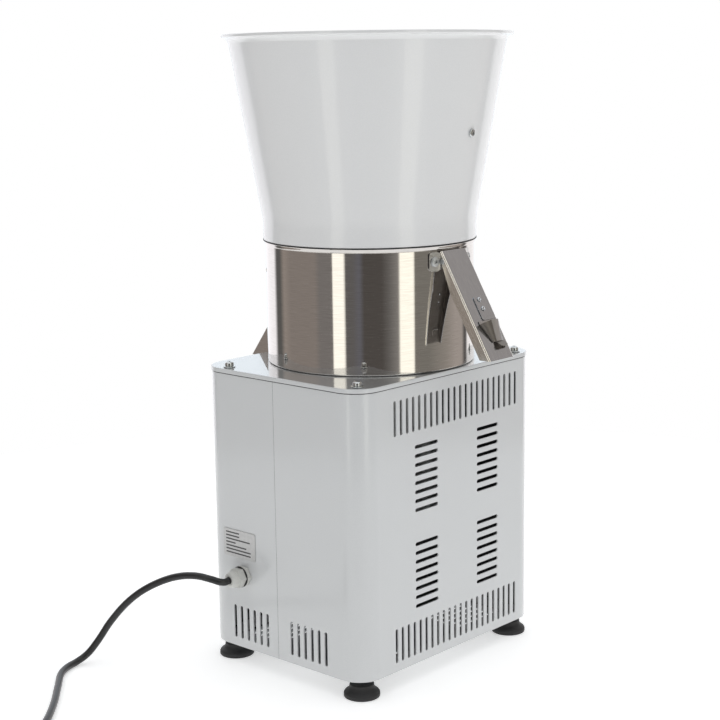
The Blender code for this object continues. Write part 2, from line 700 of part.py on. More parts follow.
def make_bottom(mill, stud_holes):
    """The bottom plate inside the shells, with four groups of air slots, and the four feet."""
    inset = CASING_SHEET + GAP
    outline = rounded_rectangle(
        CASING_WIDTH / 2 - inset, CASING_DEPTH / 2 - inset, CASING_CORNER_RADIUS - inset
    )
    bm = bmesh.new()
    add_prism(bm, outline, CASING_BOTTOM_Z, CASING_BOTTOM_Z + BOTTOM_SHEET)
    plate = mesh_object("bottom_plate", bm, "zinc", mill)
    bm = bmesh.new()
    slot = slot_outline(INLET_SLOT_LENGTH, SLOT_WIDTH)
    low = CASING_BOTTOM_Z - OVERRUN
    high = CASING_BOTTOM_Z + BOTTOM_SHEET + OVERRUN
    for side_x, side_y in ((-1, -1), (-1, 1), (1, -1), (1, 1)):
        middle_x = side_x * (CASING_WIDTH / 2 - INLET_INSET_X)
        middle_y = side_y * (CASING_DEPTH / 2 - INLET_INSET_Y)
        for i in range(INLET_SLOT_COUNT):
            x = middle_x + (i - (INLET_SLOT_COUNT - 1) / 2) * INLET_SLOT_PITCH
            add_prism(bm, slot, low, high, Matrix.Translation((x, middle_y, 0)))
    cut(plate, stud_holes, helper_object("inlet_slots", bm, mill))
    socket_z = FOOT_HEIGHT - FOOT_SOCKET_DEPTH
    socket_radius = STUD_RADIUS + GAP
    pad = [
        (0, 0),
        (FOOT_BASE_RADIUS, 0),
        (FOOT_TOP_RADIUS, FOOT_HEIGHT),
        (socket_radius, FOOT_HEIGHT),
        (socket_radius, socket_z),
        (0, socket_z),
    ]
    shoulder = CASING_BOTTOM_Z - GAP
    stud = [
        (0, socket_z + GAP),
        (STUD_RADIUS, socket_z + GAP),
        (STUD_RADIUS, shoulder),
        (STUD_THREAD_RADIUS, shoulder),
        (STUD_THREAD_RADIUS, shoulder + STUD_THREAD_LENGTH),
        (0, shoulder + STUD_THREAD_LENGTH),
    ]
    for number, (x, y) in enumerate(FOOT_PLACES, 1):
        place = make_empty(f"foot_{number}", mill, (x, y, 0))
        bm = bmesh.new()
        add_turned(bm, pad, FOOT_SEGMENTS)
        mesh_object(f"foot_pad_{number}", bm, "black_rubber", place)
        bm = bmesh.new()
        add_turned(bm, stud, SCREW_SEGMENTS)
        mesh_object(f"foot_stud_{number}", bm, "zinc", place)


def make_top_cover(mill, screw_holes):
    """The pressed cover, a pan with a low rim, its gasket and its four corner screws."""
    half_width = CASING_WIDTH / 2 + COVER_OVERHANG
    half_depth = CASING_DEPTH / 2 + COVER_OVERHANG
    radius = CASING_CORNER_RADIUS + COVER_OVERHANG
    rim_z = COVER_TOP_Z - COVER_RIM_HEIGHT
    section = [(COVER_SHEET, COVER_TOP_Z - COVER_SHEET), (COVER_SHEET, rim_z), (0, rim_z)]
    for i in range(COVER_EDGE_SEGMENTS + 1):
        angle = math.radians(90) * i / COVER_EDGE_SEGMENTS
        inset = COVER_EDGE_RADIUS * (1 - math.cos(angle))
        section.append((inset, COVER_TOP_Z - COVER_EDGE_RADIUS * (1 - math.sin(angle))))
    loops = []
    for inset, z in section:
        outline = rounded_rectangle(half_width - inset, half_depth - inset, radius - inset)
        loops.append([(x, y, z) for x, y in outline])
    bm = bmesh.new()
    add_loops(bm, loops)
    cover = mesh_object("top_cover", bm, "white_paint", mill)
    bore = hole_cutter(
        "cover_shaft_hole", [(0, 0)], BEARING_LIP_RADIUS, MOUNT_PLATE_Z, COVER_TOP_Z, mill, SHAFT_SEGMENTS
    )
    bolts = hole_cutter(
        "mount_bolt_holes", BOLT_PLACES, MOUNT_BOLT_SHANK_RADIUS + GAP,
        MOTOR_TOP_Z - MOTOR_HEAD_HEIGHT, FLOOR_TOP_Z, mill,
    )
    cut(cover, bore, bolts, screw_holes)
    make_gasket(mill, screw_holes)
    profile = screw_profile(
        COVER_SCREW_SHANK_RADIUS, COVER_SCREW_LENGTH, COVER_SCREW_HEAD_RADIUS, COVER_SCREW_HEAD_HEIGHT,
        COVER_SCREW_WASHER_RADIUS, COVER_SCREW_WASHER_HEIGHT,
    )
    for number, (x, y) in enumerate(SCREW_PLACES, 1):
        bm = bmesh.new()
        add_turned(bm, profile, SCREW_SEGMENTS)
        screw = mesh_object(f"cover_screw_{number}", bm, "zinc", mill)
        screw.location = (x, y, COVER_TOP_Z + GAP)
    make_motor(mill, bore, bolts)
    make_drum(mill, bolts)


def make_gasket(mill, screw_holes):
    """The flat seal between the casing's top flanges and the cover."""
    inset = COVER_SHEET - COVER_OVERHANG + GAP
    outer = rounded_rectangle(
        CASING_WIDTH / 2 - inset, CASING_DEPTH / 2 - inset, CASING_CORNER_RADIUS - inset
    )
    inner = rounded_rectangle(
        CASING_WIDTH / 2 - CASING_FLANGE, CASING_DEPTH / 2 - CASING_FLANGE, FLANGE_INNER_RADIUS
    )
    low = CASING_TOP_Z + GAP
    high = COVER_TOP_Z - COVER_SHEET - GAP
    loops = [[(x, y, z) for x, y in ring] for ring, z in ((outer, low), (outer, high), (inner, high), (inner, low))]
    bm = bmesh.new()
    rows = add_loops(bm, loops, caps=False)
    count = len(outer)
    for i in range(count):
        j = (i + 1) % count
        bm.faces.new((rows[-1][i], rows[-1][j], rows[0][j], rows[0][i]))
    gasket = mesh_object("cover_gasket", bm, "black_rubber", mill)
    cut(gasket, screw_holes)


def turned_piece(name, profile, finish, parent, segments):
    """A piece turned about the parent's Z axis."""
    bm = bmesh.new()
    add_turned(bm, profile, segments)
    return mesh_object(name, bm, finish, parent)


def make_motor(mill, bore, bolts):
    """The motor that hangs under the cover: mount plate, housing, end bell, stator and bearings."""
    plate = turned_piece(
        "motor_mount_plate",
        [
            (BEARING_LIP_RADIUS, MOUNT_PLATE_Z),
            (MOUNT_PLATE_RADIUS, MOUNT_PLATE_Z),
            (MOUNT_PLATE_RADIUS, MOUNT_PLATE_TOP_Z),
            (BEARING_LIP_RADIUS, MOUNT_PLATE_TOP_Z),
        ],
        "cast_aluminium", mill, MOTOR_SEGMENTS,
    )
    cut(plate, bolts)
    seat_radius = BEARING_RADIUS + GAP
    boss_radius = seat_radius + BEARING_BOSS_WALL
    inner_radius = MOTOR_RADIUS - MOTOR_WALL
    head_z = MOTOR_TOP_Z - MOTOR_HEAD_HEIGHT
    seat_z = MOTOR_TOP_Z - BEARING_LIP_HEIGHT
    seat_low = seat_z - GAP - BEARING_HEIGHT
    housing = turned_piece(
        "motor_housing",
        [
            (inner_radius, MOTOR_Z),
            (MOTOR_RADIUS, MOTOR_Z),
            (MOTOR_RADIUS, MOTOR_TOP_Z),
            (BEARING_LIP_RADIUS, MOTOR_TOP_Z),
            (BEARING_LIP_RADIUS, seat_z),
            (seat_radius, seat_z),
            (seat_radius, seat_low),
            (boss_radius, seat_low),
            (boss_radius, head_z),
            (inner_radius, head_z),
        ],
        "cast_aluminium", mill, MOTOR_SEGMENTS,
    )
    cut(housing, bolts)
    bell_seat_z = END_BOSS_Z + BEARING_LIP_HEIGHT
    turned_piece(
        "motor_end_bell",
        [
            (BEARING_LIP_RADIUS, END_BOSS_Z),
            (boss_radius, END_BOSS_Z),
            (boss_radius, END_BELL_Z),
            (MOTOR_RADIUS, END_BELL_Z),
            (MOTOR_RADIUS, END_BELL_TOP_Z),
            (seat_radius, END_BELL_TOP_Z),
            (seat_radius, bell_seat_z),
            (BEARING_LIP_RADIUS, bell_seat_z),
        ],
        "cast_aluminium", mill, MOTOR_SEGMENTS,
    )
    for name, low in (("upper_bearing", seat_low), ("lower_bearing", bell_seat_z + GAP)):
        ring = [
            (SHAFT_RADIUS + GAP, low),
            (BEARING_RADIUS, low),
            (BEARING_RADIUS, low + BEARING_HEIGHT),
            (SHAFT_RADIUS + GAP, low + BEARING_HEIGHT),
        ]
        turned_piece(name, ring, "zinc", mill, SHAFT_SEGMENTS)
    stator_radius = inner_radius - GAP
    ring = [
        (STATOR_BORE_RADIUS, STATOR_Z),
        (stator_radius, STATOR_Z),
        (stator_radius, STATOR_Z + STATOR_HEIGHT),
        (STATOR_BORE_RADIUS, STATOR_Z + STATOR_HEIGHT),
    ]
    turned_piece("stator_core", ring, "laminations", mill, MOTOR_SEGMENTS)
    make_capacitor(mill)
    make_shaft(mill, bell_seat_z + GAP + BEARING_HEIGHT)


def make_capacitor(mill):
    """The motor's run capacitor, which stands on the bottom plate."""
    low = CASING_BOTTOM_Z + BOTTOM_SHEET + GAP
    high = low + CAPACITOR_HEIGHT
    profile = [
        (0, low),
        (CAPACITOR_RADIUS, low),
        (CAPACITOR_RADIUS, high - CAPACITOR_EDGE),
        (CAPACITOR_RADIUS - CAPACITOR_EDGE, high),
        (0, high),
    ]
    can = turned_piece("run_capacitor", profile, "capacitor_white", mill, FOOT_SEGMENTS)
    can.location = (CAPACITOR_X, CAPACITOR_Y, 0)


def star_outline(hub_radius, tip_radius, blades, sheet):
    """A hub with straight radial blades, seen along its axis."""
    half = sheet / 2
    root = math.sqrt(hub_radius**2 - half**2)
    points = []
    for blade in range(blades):
        turn = math.tau * blade / blades
        gap_angle = turn + math.pi / blades
        for along_blade, across in ((root, -half), (tip_radius, -half), (tip_radius, half), (root, half)):
            x = along_blade * math.cos(turn) - across * math.sin(turn)
            y = along_blade * math.sin(turn) + across * math.cos(turn)
            points.append((x, y))
        points.append((hub_radius * math.cos(gap_angle), hub_radius * math.sin(gap_angle)))
    return points


def make_shaft(mill, lower_shoulder_z):
    """The one spinning shaft with its rotor, fan, sweeper, knife and nut, and the seal round it."""
    spin = make_empty("rotor_axis", mill, (0, 0, 0))
    fan_top = END_BOSS_Z - FAN_BELOW_END_BELL
    fan_low = fan_top - FAN_HEIGHT
    rotor_radius = STATOR_BORE_RADIUS - ROTOR_AIR_GAP
    tip_z = KNIFE_NUT_Z + NUT_HEIGHT + SHAFT_TIP_PAST_NUT
    shoulder_low = lower_shoulder_z + GAP
    shoulder_high = STATOR_Z - GAP
    shaft = [
        (0, fan_low),
        (SHAFT_RADIUS, fan_low),
        (SHAFT_RADIUS, shoulder_low),
        (SHAFT_SHOULDER_RADIUS, shoulder_low),
        (SHAFT_SHOULDER_RADIUS, shoulder_high),
        (SHAFT_RADIUS, shoulder_high),
        (SHAFT_RADIUS, SWEEPER_Z - GAP),
        (SHAFT_TOP_RADIUS, SWEEPER_Z - GAP),
        (SHAFT_TOP_RADIUS, tip_z),
        (0, tip_z),
    ]
    turned_piece("motor_shaft", shaft, "tool_steel", spin, SHAFT_SEGMENTS)
    ring = [
        (SHAFT_RADIUS + GAP, STATOR_Z),
        (rotor_radius, STATOR_Z),
        (rotor_radius, STATOR_Z + STATOR_HEIGHT),
        (SHAFT_RADIUS + GAP, STATOR_Z + STATOR_HEIGHT),
    ]
    turned_piece("rotor_core", ring, "laminations", spin, MOTOR_SEGMENTS)
    shaft_bore = hole_cutter(
        "shaft_bore", [(0, 0)], SHAFT_RADIUS + GAP, fan_low, fan_top, spin, SHAFT_SEGMENTS
    )
    tool_bore = hole_cutter(
        "tool_bore", [(0, 0)], SHAFT_TOP_RADIUS + GAP, SWEEPER_Z, tip_z, spin, SHAFT_SEGMENTS
    )
    bm = bmesh.new()
    add_prism(bm, star_outline(FAN_HUB_RADIUS, FAN_RADIUS, FAN_BLADES, FAN_BLADE_SHEET), fan_low, fan_top)
    cut(mesh_object("cooling_fan", bm, "black_plastic", spin), shaft_bore)
    seal_low = DRUM_BASE_Z + SEAL_BOSS_HEIGHT - SEAL_HEIGHT
    seal = [
        (SHAFT_RADIUS + GAP, seal_low),
        (SEAL_RADIUS, seal_low),
        (SEAL_RADIUS, BOSS_TOP_Z),
        (SHAFT_RADIUS + GAP, BOSS_TOP_Z),
    ]
    turned_piece("shaft_seal", seal, "black_rubber", mill, SHAFT_SEGMENTS)
    make_milling_tools(spin, tool_bore)


def make_milling_tools(spin, tool_bore):
    """The sweeper under the sieve, the knife over it and the nut that holds both."""
    bm = bmesh.new()
    outline = star_outline(SWEEPER_HUB_RADIUS, SWEEPER_RADIUS, SWEEPER_VANES, SWEEPER_VANE_SHEET)
    add_prism(bm, outline, SWEEPER_Z + OVERRUN, SWEEPER_Z + SWEEPER_VANE_HEIGHT)
    sweeper = mesh_object("sweeper_rotor", bm, "tool_steel", spin)
    bm = bmesh.new()
    add_rod(bm, SWEEPER_HUB_RADIUS, SWEEPER_Z, SWEEPER_Z + SWEEPER_HUB_HEIGHT, SHAFT_SEGMENTS)
    combine(sweeper, helper_object("sweeper_hub", bm, spin), "UNION")
    cut(sweeper, tool_bore)
    bm = bmesh.new()
    half = KNIFE_TIP_WIDTH / 2
    root = KNIFE_ROOT_RADIUS
    wing = [(root, -half), (KNIFE_RADIUS - half, -half), (KNIFE_RADIUS, half / 2), (KNIFE_RADIUS, half)]
    outline = wing + [(root, half), (0, root)]
    outline += [(-x, -y) for x, y in outline]
    add_prism(bm, outline, KNIFE_Z, KNIFE_Z + KNIFE_SHEET)
    cut(mesh_object("knife_blade", bm, "tool_steel", spin), tool_bore)
    bm = bmesh.new()
    add_prism(bm, circle(NUT_RADIUS, 6), KNIFE_NUT_Z, KNIFE_NUT_Z + NUT_HEIGHT)
    cut(mesh_object("knife_nut", bm, "zinc", spin), tool_bore)


def make_drum(mill, bolts):
    """The stainless drum with its floor, sieve and outlet hood, and the bolts that hold it down."""
    inner = DRUM_RADIUS - DRUM_WALL
    flange = DRUM_RADIUS - DRUM_FLANGE
    lip_z = DRUM_TOP_Z - DRUM_LIP_HEIGHT
    lip_radius = DRUM_RADIUS + DRUM_LIP_STEP
    shell = turned_piece(
        "drum_shell",
        [
            (flange, DRUM_BASE_Z),
            (DRUM_RADIUS, DRUM_BASE_Z),
            (DRUM_RADIUS, lip_z - DRUM_LIP_STEP / 2),
            (lip_radius, lip_z),
            (lip_radius, DRUM_TOP_Z - DRUM_LIP_STEP / 2),
            (DRUM_RADIUS, DRUM_TOP_Z),
            (inner, DRUM_TOP_Z),
            (inner, DRUM_BASE_Z + DRUM_WALL),
            (flange, DRUM_BASE_Z + DRUM_WALL),
        ],
        "stainless", mill, DRUM_SEGMENTS,
    )
    floor_radius = inner - GAP
    seal_seat = SEAL_RADIUS + GAP
    floor = turned_piece(
        "drum_floor",
        [
            (seal_seat, DRUM_BASE_Z),
            (FLOOR_PAD_RADIUS, DRUM_BASE_Z),
            (FLOOR_PAD_RADIUS, FLOOR_Z),
            (floor_radius, FLOOR_Z),
            (floor_radius, FLOOR_Z + FLOOR_WALL_HEIGHT),
            (floor_radius - FLOOR_WALL, FLOOR_Z + FLOOR_WALL_HEIGHT),
            (floor_radius - FLOOR_WALL, FLOOR_TOP_Z),
            (SEAL_BOSS_RADIUS, FLOOR_TOP_Z),
            (SEAL_BOSS_RADIUS, BOSS_TOP_Z),
            (seal_seat, BOSS_TOP_Z),
        ],
        "cast_aluminium", mill, DRUM_SEGMENTS,
    )
    bm = bmesh.new()
    half = OUTLET_HALF_WIDTH - HOOD_SHEET - WINDOW_MARGIN
    window_low = FLOOR_TOP_Z + GAP
    near = math.sqrt((inner - FLOOR_WALL) ** 2 - half**2) - FLOOR_WALL - OVERRUN
    add_box(bm, (near, -half, window_low), (DRUM_RADIUS + OVERRUN, half, window_low + WINDOW_HEIGHT))
    window = helper_object("outlet_window", bm, mill)
    cut(shell, window)
    cut(floor, window, bolts)
    make_sieve(mill, floor_radius)
    make_hood(mill)
    profile = screw_profile(
        MOUNT_BOLT_SHANK_RADIUS, FLOOR_TOP_Z + GAP - MOTOR_TOP_Z + MOTOR_HEAD_HEIGHT + MOUNT_BOLT_THREAD_PAST,
        MOUNT_BOLT_HEAD_RADIUS, MOUNT_BOLT_HEAD_HEIGHT,
    )
    for number, (x, y) in enumerate(BOLT_PLACES, 1):
        bolt = turned_piece(f"mount_bolt_{number}", profile, "zinc", mill, SCREW_SEGMENTS)
        bolt.location = (x, y, FLOOR_TOP_Z + GAP)


def make_sieve(mill, radius):
    """The drop-in sieve that the meal falls through, a plate with radial slots."""
    hole = SWEEPER_HUB_RADIUS + SIEVE_HUB_CLEARANCE
    sieve = turned_piece(
        "sieve_plate",
        [(hole, SIEVE_Z), (radius, SIEVE_Z), (radius, SIEVE_Z + SIEVE_SHEET), (hole, SIEVE_Z + SIEVE_SHEET)],
        "stainless", mill, DRUM_SEGMENTS,
    )
    outline = slot_outline(SIEVE_SLOT_LENGTH, SIEVE_SLOT_WIDTH)
    middle = (hole + radius - FLOOR_WALL) / 2
    bm = bmesh.new()
    for i in range(SIEVE_SLOT_COUNT):
        turn = Matrix.Rotation(math.tau * (i + 0.5) / SIEVE_SLOT_COUNT, 4, "Z")
        place = turn @ Matrix.Translation((0, middle, 0))
        add_prism(bm, outline, SIEVE_Z - OVERRUN, SIEVE_Z + SIEVE_SHEET + OVERRUN, place)
    cut(sieve, helper_object("sieve_slots", bm, mill))


def make_hood(mill):
    """The sheet hood that turns the meal down past the casing's right wall, open below."""
    half = OUTLET_HALF_WIDTH
    cover_edge = CASING_WIDTH / 2 + COVER_OVERHANG + GAP
    slope = (HOOD_TIP_Z - OUTLET_TOP_Z) / (HOOD_TIP_X - DRUM_RADIUS)
    inside_x = math.sqrt(DRUM_RADIUS**2 - half**2) - OVERRUN

    def side_profile(drop, low):
        start = OUTLET_TOP_Z - drop + slope * (inside_x - DRUM_RADIUS)
        return [
            (inside_x, start),
            (inside_x, DRUM_BASE_Z - low),
            (cover_edge, DRUM_BASE_Z - low),
            (cover_edge, HOOD_TIP_Z - low),
            (HOOD_TIP_X + drop / slope, HOOD_TIP_Z - low),
            (HOOD_TIP_X + drop / slope, HOOD_TIP_Z),
        ]

    upright = Matrix.Rotation(math.radians(90), 4, "X")
    drop = HOOD_SHEET * math.sqrt(1 + slope**2)
    outer = side_profile(0, 0)
    bm = bmesh.new()
    add_prism(bm, outer[:-1], -half, half, upright)
    hood = mesh_object("outlet_hood", bm, "stainless", mill)
    bm = bmesh.new()
    inner = side_profile(drop, OVERRUN)
    add_prism(bm, inner, HOOD_SHEET - half, half - HOOD_SHEET, upright)
    hollow = helper_object("hood_hollow", bm, mill)
    bm = bmesh.new()
    add_rod(bm, DRUM_RADIUS + GAP, HOOD_TIP_Z - OVERRUN, DRUM_TOP_Z, DRUM_SEGMENTS)
    cut(hood, hollow, helper_object("hood_drum_fit", bm, mill))


def hopper_radius(z):
    """The outer radius of the hopper's cone at a height."""
    share = (z - HOPPER_CONE_Z) / HOPPER_CONE_HEIGHT
    return HOPPER_COLLAR_RADIUS + (HOPPER_CONE_RADIUS - HOPPER_COLLAR_RADIUS) * share


def hopper_profile():
    """The sheet's outer side from the bottom up, over the rolled rim and down the inner side."""
    flare = HOPPER_RIM_RADIUS - HOPPER_CONE_RADIUS
    rise = HOPPER_RIM_HEIGHT
    top = HOPPER_CONE_TOP_Z
    rim_shares = [(0.36, 0.50), (0.96, 0.64), (1.00, 0.90), (0.88, 1.00)]
    inner_rim_shares = [(0.60, 1.00), (0.24, 0.66)]
    outer = [(HOPPER_COLLAR_RADIUS, HOPPER_Z), (HOPPER_COLLAR_RADIUS, HOPPER_CONE_Z), (HOPPER_CONE_RADIUS, top)]
    outer += [(HOPPER_CONE_RADIUS + flare * across, top + rise * up) for across, up in rim_shares]
    inner = [(HOPPER_CONE_RADIUS - HOPPER_SHEET + flare * across, top + rise * up) for across, up in inner_rim_shares]
    inner += [(HOPPER_CONE_RADIUS - HOPPER_SHEET, top), (HOPPER_COLLAR_RADIUS - HOPPER_SHEET, HOPPER_CONE_Z)]
    inner += [(HOPPER_COLLAR_RADIUS - HOPPER_SHEET, HOPPER_Z)]
    return outer + inner


def make_hopper(mill):
    """The lift-off hopper: painted cone, feed funnel, and a guard held by two screws."""
    lift = make_empty("hopper_lift", mill, (0, 0, 0))
    hopper = turned_piece("hopper", hopper_profile(), "white_paint", lift, HOPPER_SEGMENTS)
    outer = HOPPER_COLLAR_RADIUS - HOPPER_SHEET - GAP
    spigot = DRUM_RADIUS - DRUM_WALL - GAP
    spigot_low = HOPPER_Z - FUNNEL_SPIGOT_LENGTH
    throat_z = HOPPER_Z - FUNNEL_DROP
    throat_low = throat_z - FUNNEL_THROAT_LENGTH
    slant = (HOPPER_Z - throat_z) / (spigot - FUNNEL_SHEET - FUNNEL_THROAT_RADIUS)
    under = FUNNEL_SHEET * math.sqrt(1 + slant**2)
    funnel = [
        (outer, HOPPER_Z),
        (outer, HOPPER_Z + FUNNEL_SHEET),
        (spigot, HOPPER_Z + FUNNEL_SHEET),
        (FUNNEL_THROAT_RADIUS, throat_z + FUNNEL_SHEET),
        (FUNNEL_THROAT_RADIUS, throat_low),
        (FUNNEL_THROAT_RADIUS + FUNNEL_SHEET, throat_low),
        (FUNNEL_THROAT_RADIUS + FUNNEL_SHEET, throat_z + FUNNEL_SHEET + FUNNEL_SHEET * slant - under),
        (spigot - FUNNEL_SHEET, HOPPER_Z + FUNNEL_SHEET - under),
        (spigot - FUNNEL_SHEET, spigot_low),
        (spigot, spigot_low),
        (spigot, HOPPER_Z),
    ]
    turned_piece("feed_funnel", funnel, "stainless", lift, DRUM_SEGMENTS)
    make_guard(lift, hopper)


def make_guard(lift, hopper):
    """A flat ring over the feed throat with crossed bars. The long bar ends in two tabs on the cone."""
    slope = (HOPPER_CONE_RADIUS - HOPPER_COLLAR_RADIUS) / HOPPER_CONE_HEIGHT
    lean = math.atan(slope)
    wall_radius = hopper_radius(GUARD_Z) - HOPPER_SHEET * math.sqrt(1 + slope**2)
    edge = wall_radius - GUARD_EDGE_CLEARANCE
    outer = GUARD_RING_RADIUS
    inner = outer - GUARD_BAR_WIDTH
    top = GUARD_Z + GUARD_SHEET
    ring = [(inner, GUARD_Z), (outer, GUARD_Z), (outer, top), (inner, top)]
    guard = turned_piece("hopper_guard", ring, "stainless", lift, GUARD_SEGMENTS)
    half = GUARD_BAR_WIDTH / 2
    middle = inner + half
    turn = Matrix.Rotation(math.radians(GUARD_SCREW_AZIMUTH_DEG), 4, "Z")
    for name, corner in (("guard_long_bar", (edge, half)), ("guard_cross_bar", (half, middle))):
        bm = bmesh.new()
        add_box(bm, (-corner[0], -corner[1], GUARD_Z), (corner[0], corner[1], top), turn)
        combine(guard, helper_object(name, bm, lift), "UNION")
    make_guard_tabs(lift, hopper, guard, slope, lean)


def make_guard_tabs(lift, hopper, guard, slope, lean):
    """Two tabs along the cone's wall, their screws, and the holes for them."""
    middle_z = GUARD_Z + GUARD_TAB_HEIGHT / 2
    wall = hopper_radius(middle_z)
    profile = screw_profile(
        GUARD_SCREW_SHANK_RADIUS, GUARD_SCREW_LENGTH, GUARD_SCREW_HEAD_RADIUS, GUARD_SCREW_HEAD_HEIGHT
    )
    tabs = bmesh.new()
    holes = bmesh.new()
    for number in (1, 2):
        turn = Matrix.Rotation(math.radians(GUARD_SCREW_AZIMUTH_DEG + 180 * (number - 1)), 4, "Z")
        face = turn @ Matrix.Translation((wall, 0, middle_z)) @ Matrix.Rotation(lean, 4, "Y")
        inside = HOPPER_SHEET + GAP
        sag = wall - math.sqrt(wall**2 - (GUARD_TAB_WIDTH / 2) ** 2)
        back = -(inside + sag)
        half_tall = GUARD_TAB_HEIGHT / 2
        half_wide = GUARD_TAB_WIDTH / 2
        add_box(tabs, (back - GUARD_SHEET, -half_wide, -half_tall), (back, half_wide, half_tall), face)
        outward = face @ along("X")
        reach = GUARD_SCREW_LENGTH + OVERRUN
        add_rod(holes, GUARD_SCREW_SHANK_RADIUS + GAP, -reach, OVERRUN, SCREW_SEGMENTS, outward)
        bm = bmesh.new()
        add_turned(bm, profile, SCREW_SEGMENTS)
        screw = mesh_object(f"guard_screw_{number}", bm, "zinc", lift)
        screw.matrix_local = outward @ Matrix.Translation((0, 0, GAP))
    combine(guard, helper_object("guard_tabs", tabs, lift), "UNION")
    hole_helper = helper_object("guard_screw_holes", holes, lift)
    cut(guard, hole_helper)
    cut(hopper, hole_helper)


def lever_side():
    """The lever's side view in its own frame: X towards the drum, Z up along the lever, pin at zero."""
    face = -LEVER_PIN_TO_FACE
    edge = LEVER_DEPTH - LEVER_PIN_TO_FACE
    bottom_rise = LEVER_DEPTH * math.tan(math.radians(LEVER_ANGLE_DEG))
    return [
        (face, LEVER_ABOVE_PIN),
        (face, -LEVER_BELOW_PIN),
        (edge, bottom_rise - LEVER_BELOW_PIN),
        (edge, -LEVER_TAPER_LENGTH),
        (LEVER_PIN_TO_FACE * 0.85, -LEVER_ABOVE_PIN),
        (LEVER_PIN_TO_FACE * 0.60, 0),
        (face * 0.25, LEVER_ABOVE_PIN * 0.66),
        (face + LEVER_SHEET, LEVER_ABOVE_PIN),
    ]


def lever_place(mill):
    """The empty on the lever's pin, tilted as the lever hangs open."""
    return make_empty(
        "lever_axis", mill, (LEVER_PIN_X, LEVER_SIDE_OFFSET, LEVER_PIN_Z),
        (0, math.radians(LEVER_ANGLE_DEG), 0),
    )


def make_lever(mill):
    """The channel lever with the window for its catch."""
    hinge = lever_place(mill)
    half = LEVER_WIDTH / 2
    upright = Matrix.Rotation(math.radians(90), 4, "X")
    bm = bmesh.new()
    add_prism(bm, lever_side(), -half, half, upright)
    lever = mesh_object("clamp_lever", bm, "stainless", hinge)
    face = -LEVER_PIN_TO_FACE
    inside = half - LEVER_SHEET
    bm = bmesh.new()
    low = (face + LEVER_SHEET, -inside, -LEVER_BELOW_PIN - OVERRUN)
    high = (LEVER_DEPTH, inside, LEVER_ABOVE_PIN + OVERRUN)
    add_box(bm, low, high)
    hollow = helper_object("lever_hollow", bm, hinge)
    bm = bmesh.new()
    pin_turn = along("Y")
    reach = half + OVERRUN
    add_rod(bm, LEVER_PIN_RADIUS + GAP, -reach, reach, SCREW_SEGMENTS, pin_turn)
    pin_hole = helper_object("lever_pin_hole", bm, hinge)
    cut(lever, hollow, pin_hole)
    make_catch(hinge, lever)
    make_bracket(mill)


def make_catch(hinge, lever):
    """The riveted catch plate, its two rivets and the thumb tongue that dips through the lever."""
    face = -LEVER_PIN_TO_FACE
    seat = face - GAP
    plate_top = -CATCH_TOP_BELOW_PIN
    plate_low = plate_top - CATCH_PLATE_LENGTH
    middle = CATCH_PLATE_SIDE_OFFSET
    half = CATCH_PLATE_WIDTH / 2
    bm = bmesh.new()
    add_box(bm, (seat - CATCH_SHEET, middle - half, plate_low), (seat, middle + half, plate_top))
    plate = mesh_object("catch_plate", bm, "stainless", hinge)
    outward = Matrix.Rotation(math.radians(-90), 4, "Y")
    profile = screw_profile(
        CATCH_RIVET_RADIUS, CATCH_SHEET + GAP + GAP + LEVER_SHEET, CATCH_RIVET_HEAD_RADIUS,
        CATCH_RIVET_HEAD_HEIGHT,
    )
    holes = bmesh.new()
    for number in (1, 2):
        z = plate_top - CATCH_RIVET_FROM_TOP - (number - 1) * CATCH_RIVET_SPACING
        place = Matrix.Translation((seat - CATCH_SHEET - GAP, CATCH_RIVET_SIDE_OFFSET, z)) @ outward
        bm = bmesh.new()
        add_turned(bm, profile, SCREW_SEGMENTS)
        rivet = mesh_object(f"catch_rivet_{number}", bm, "zinc", hinge)
        rivet.matrix_local = place
        add_rod(holes, CATCH_RIVET_RADIUS + GAP, -LEVER_DEPTH / 2, OVERRUN, SCREW_SEGMENTS, place)
    rivet_holes = helper_object("rivet_holes", holes, hinge)
    cut(plate, rivet_holes)
    cut(lever, rivet_holes)
    make_tongue(hinge, lever, plate_low)


def cone_section(left, right, height, z):
    """An arch across the lever, from its left foot to its right one, then back one sheet further in."""
    middle = (left - right) / 2
    half = (left + right) / 2
    turns = [math.pi * i / CONE_STEPS for i in range(CONE_STEPS + 1)]
    outer = [(-CATCH_SHEET - height * math.sin(turn), middle + half * math.cos(turn), z) for turn in turns]
    thin = half - CATCH_SHEET
    inner = [(-height * math.sin(turn), middle + thin * math.cos(turn), z) for turn in reversed(turns)]
    return outer + inner


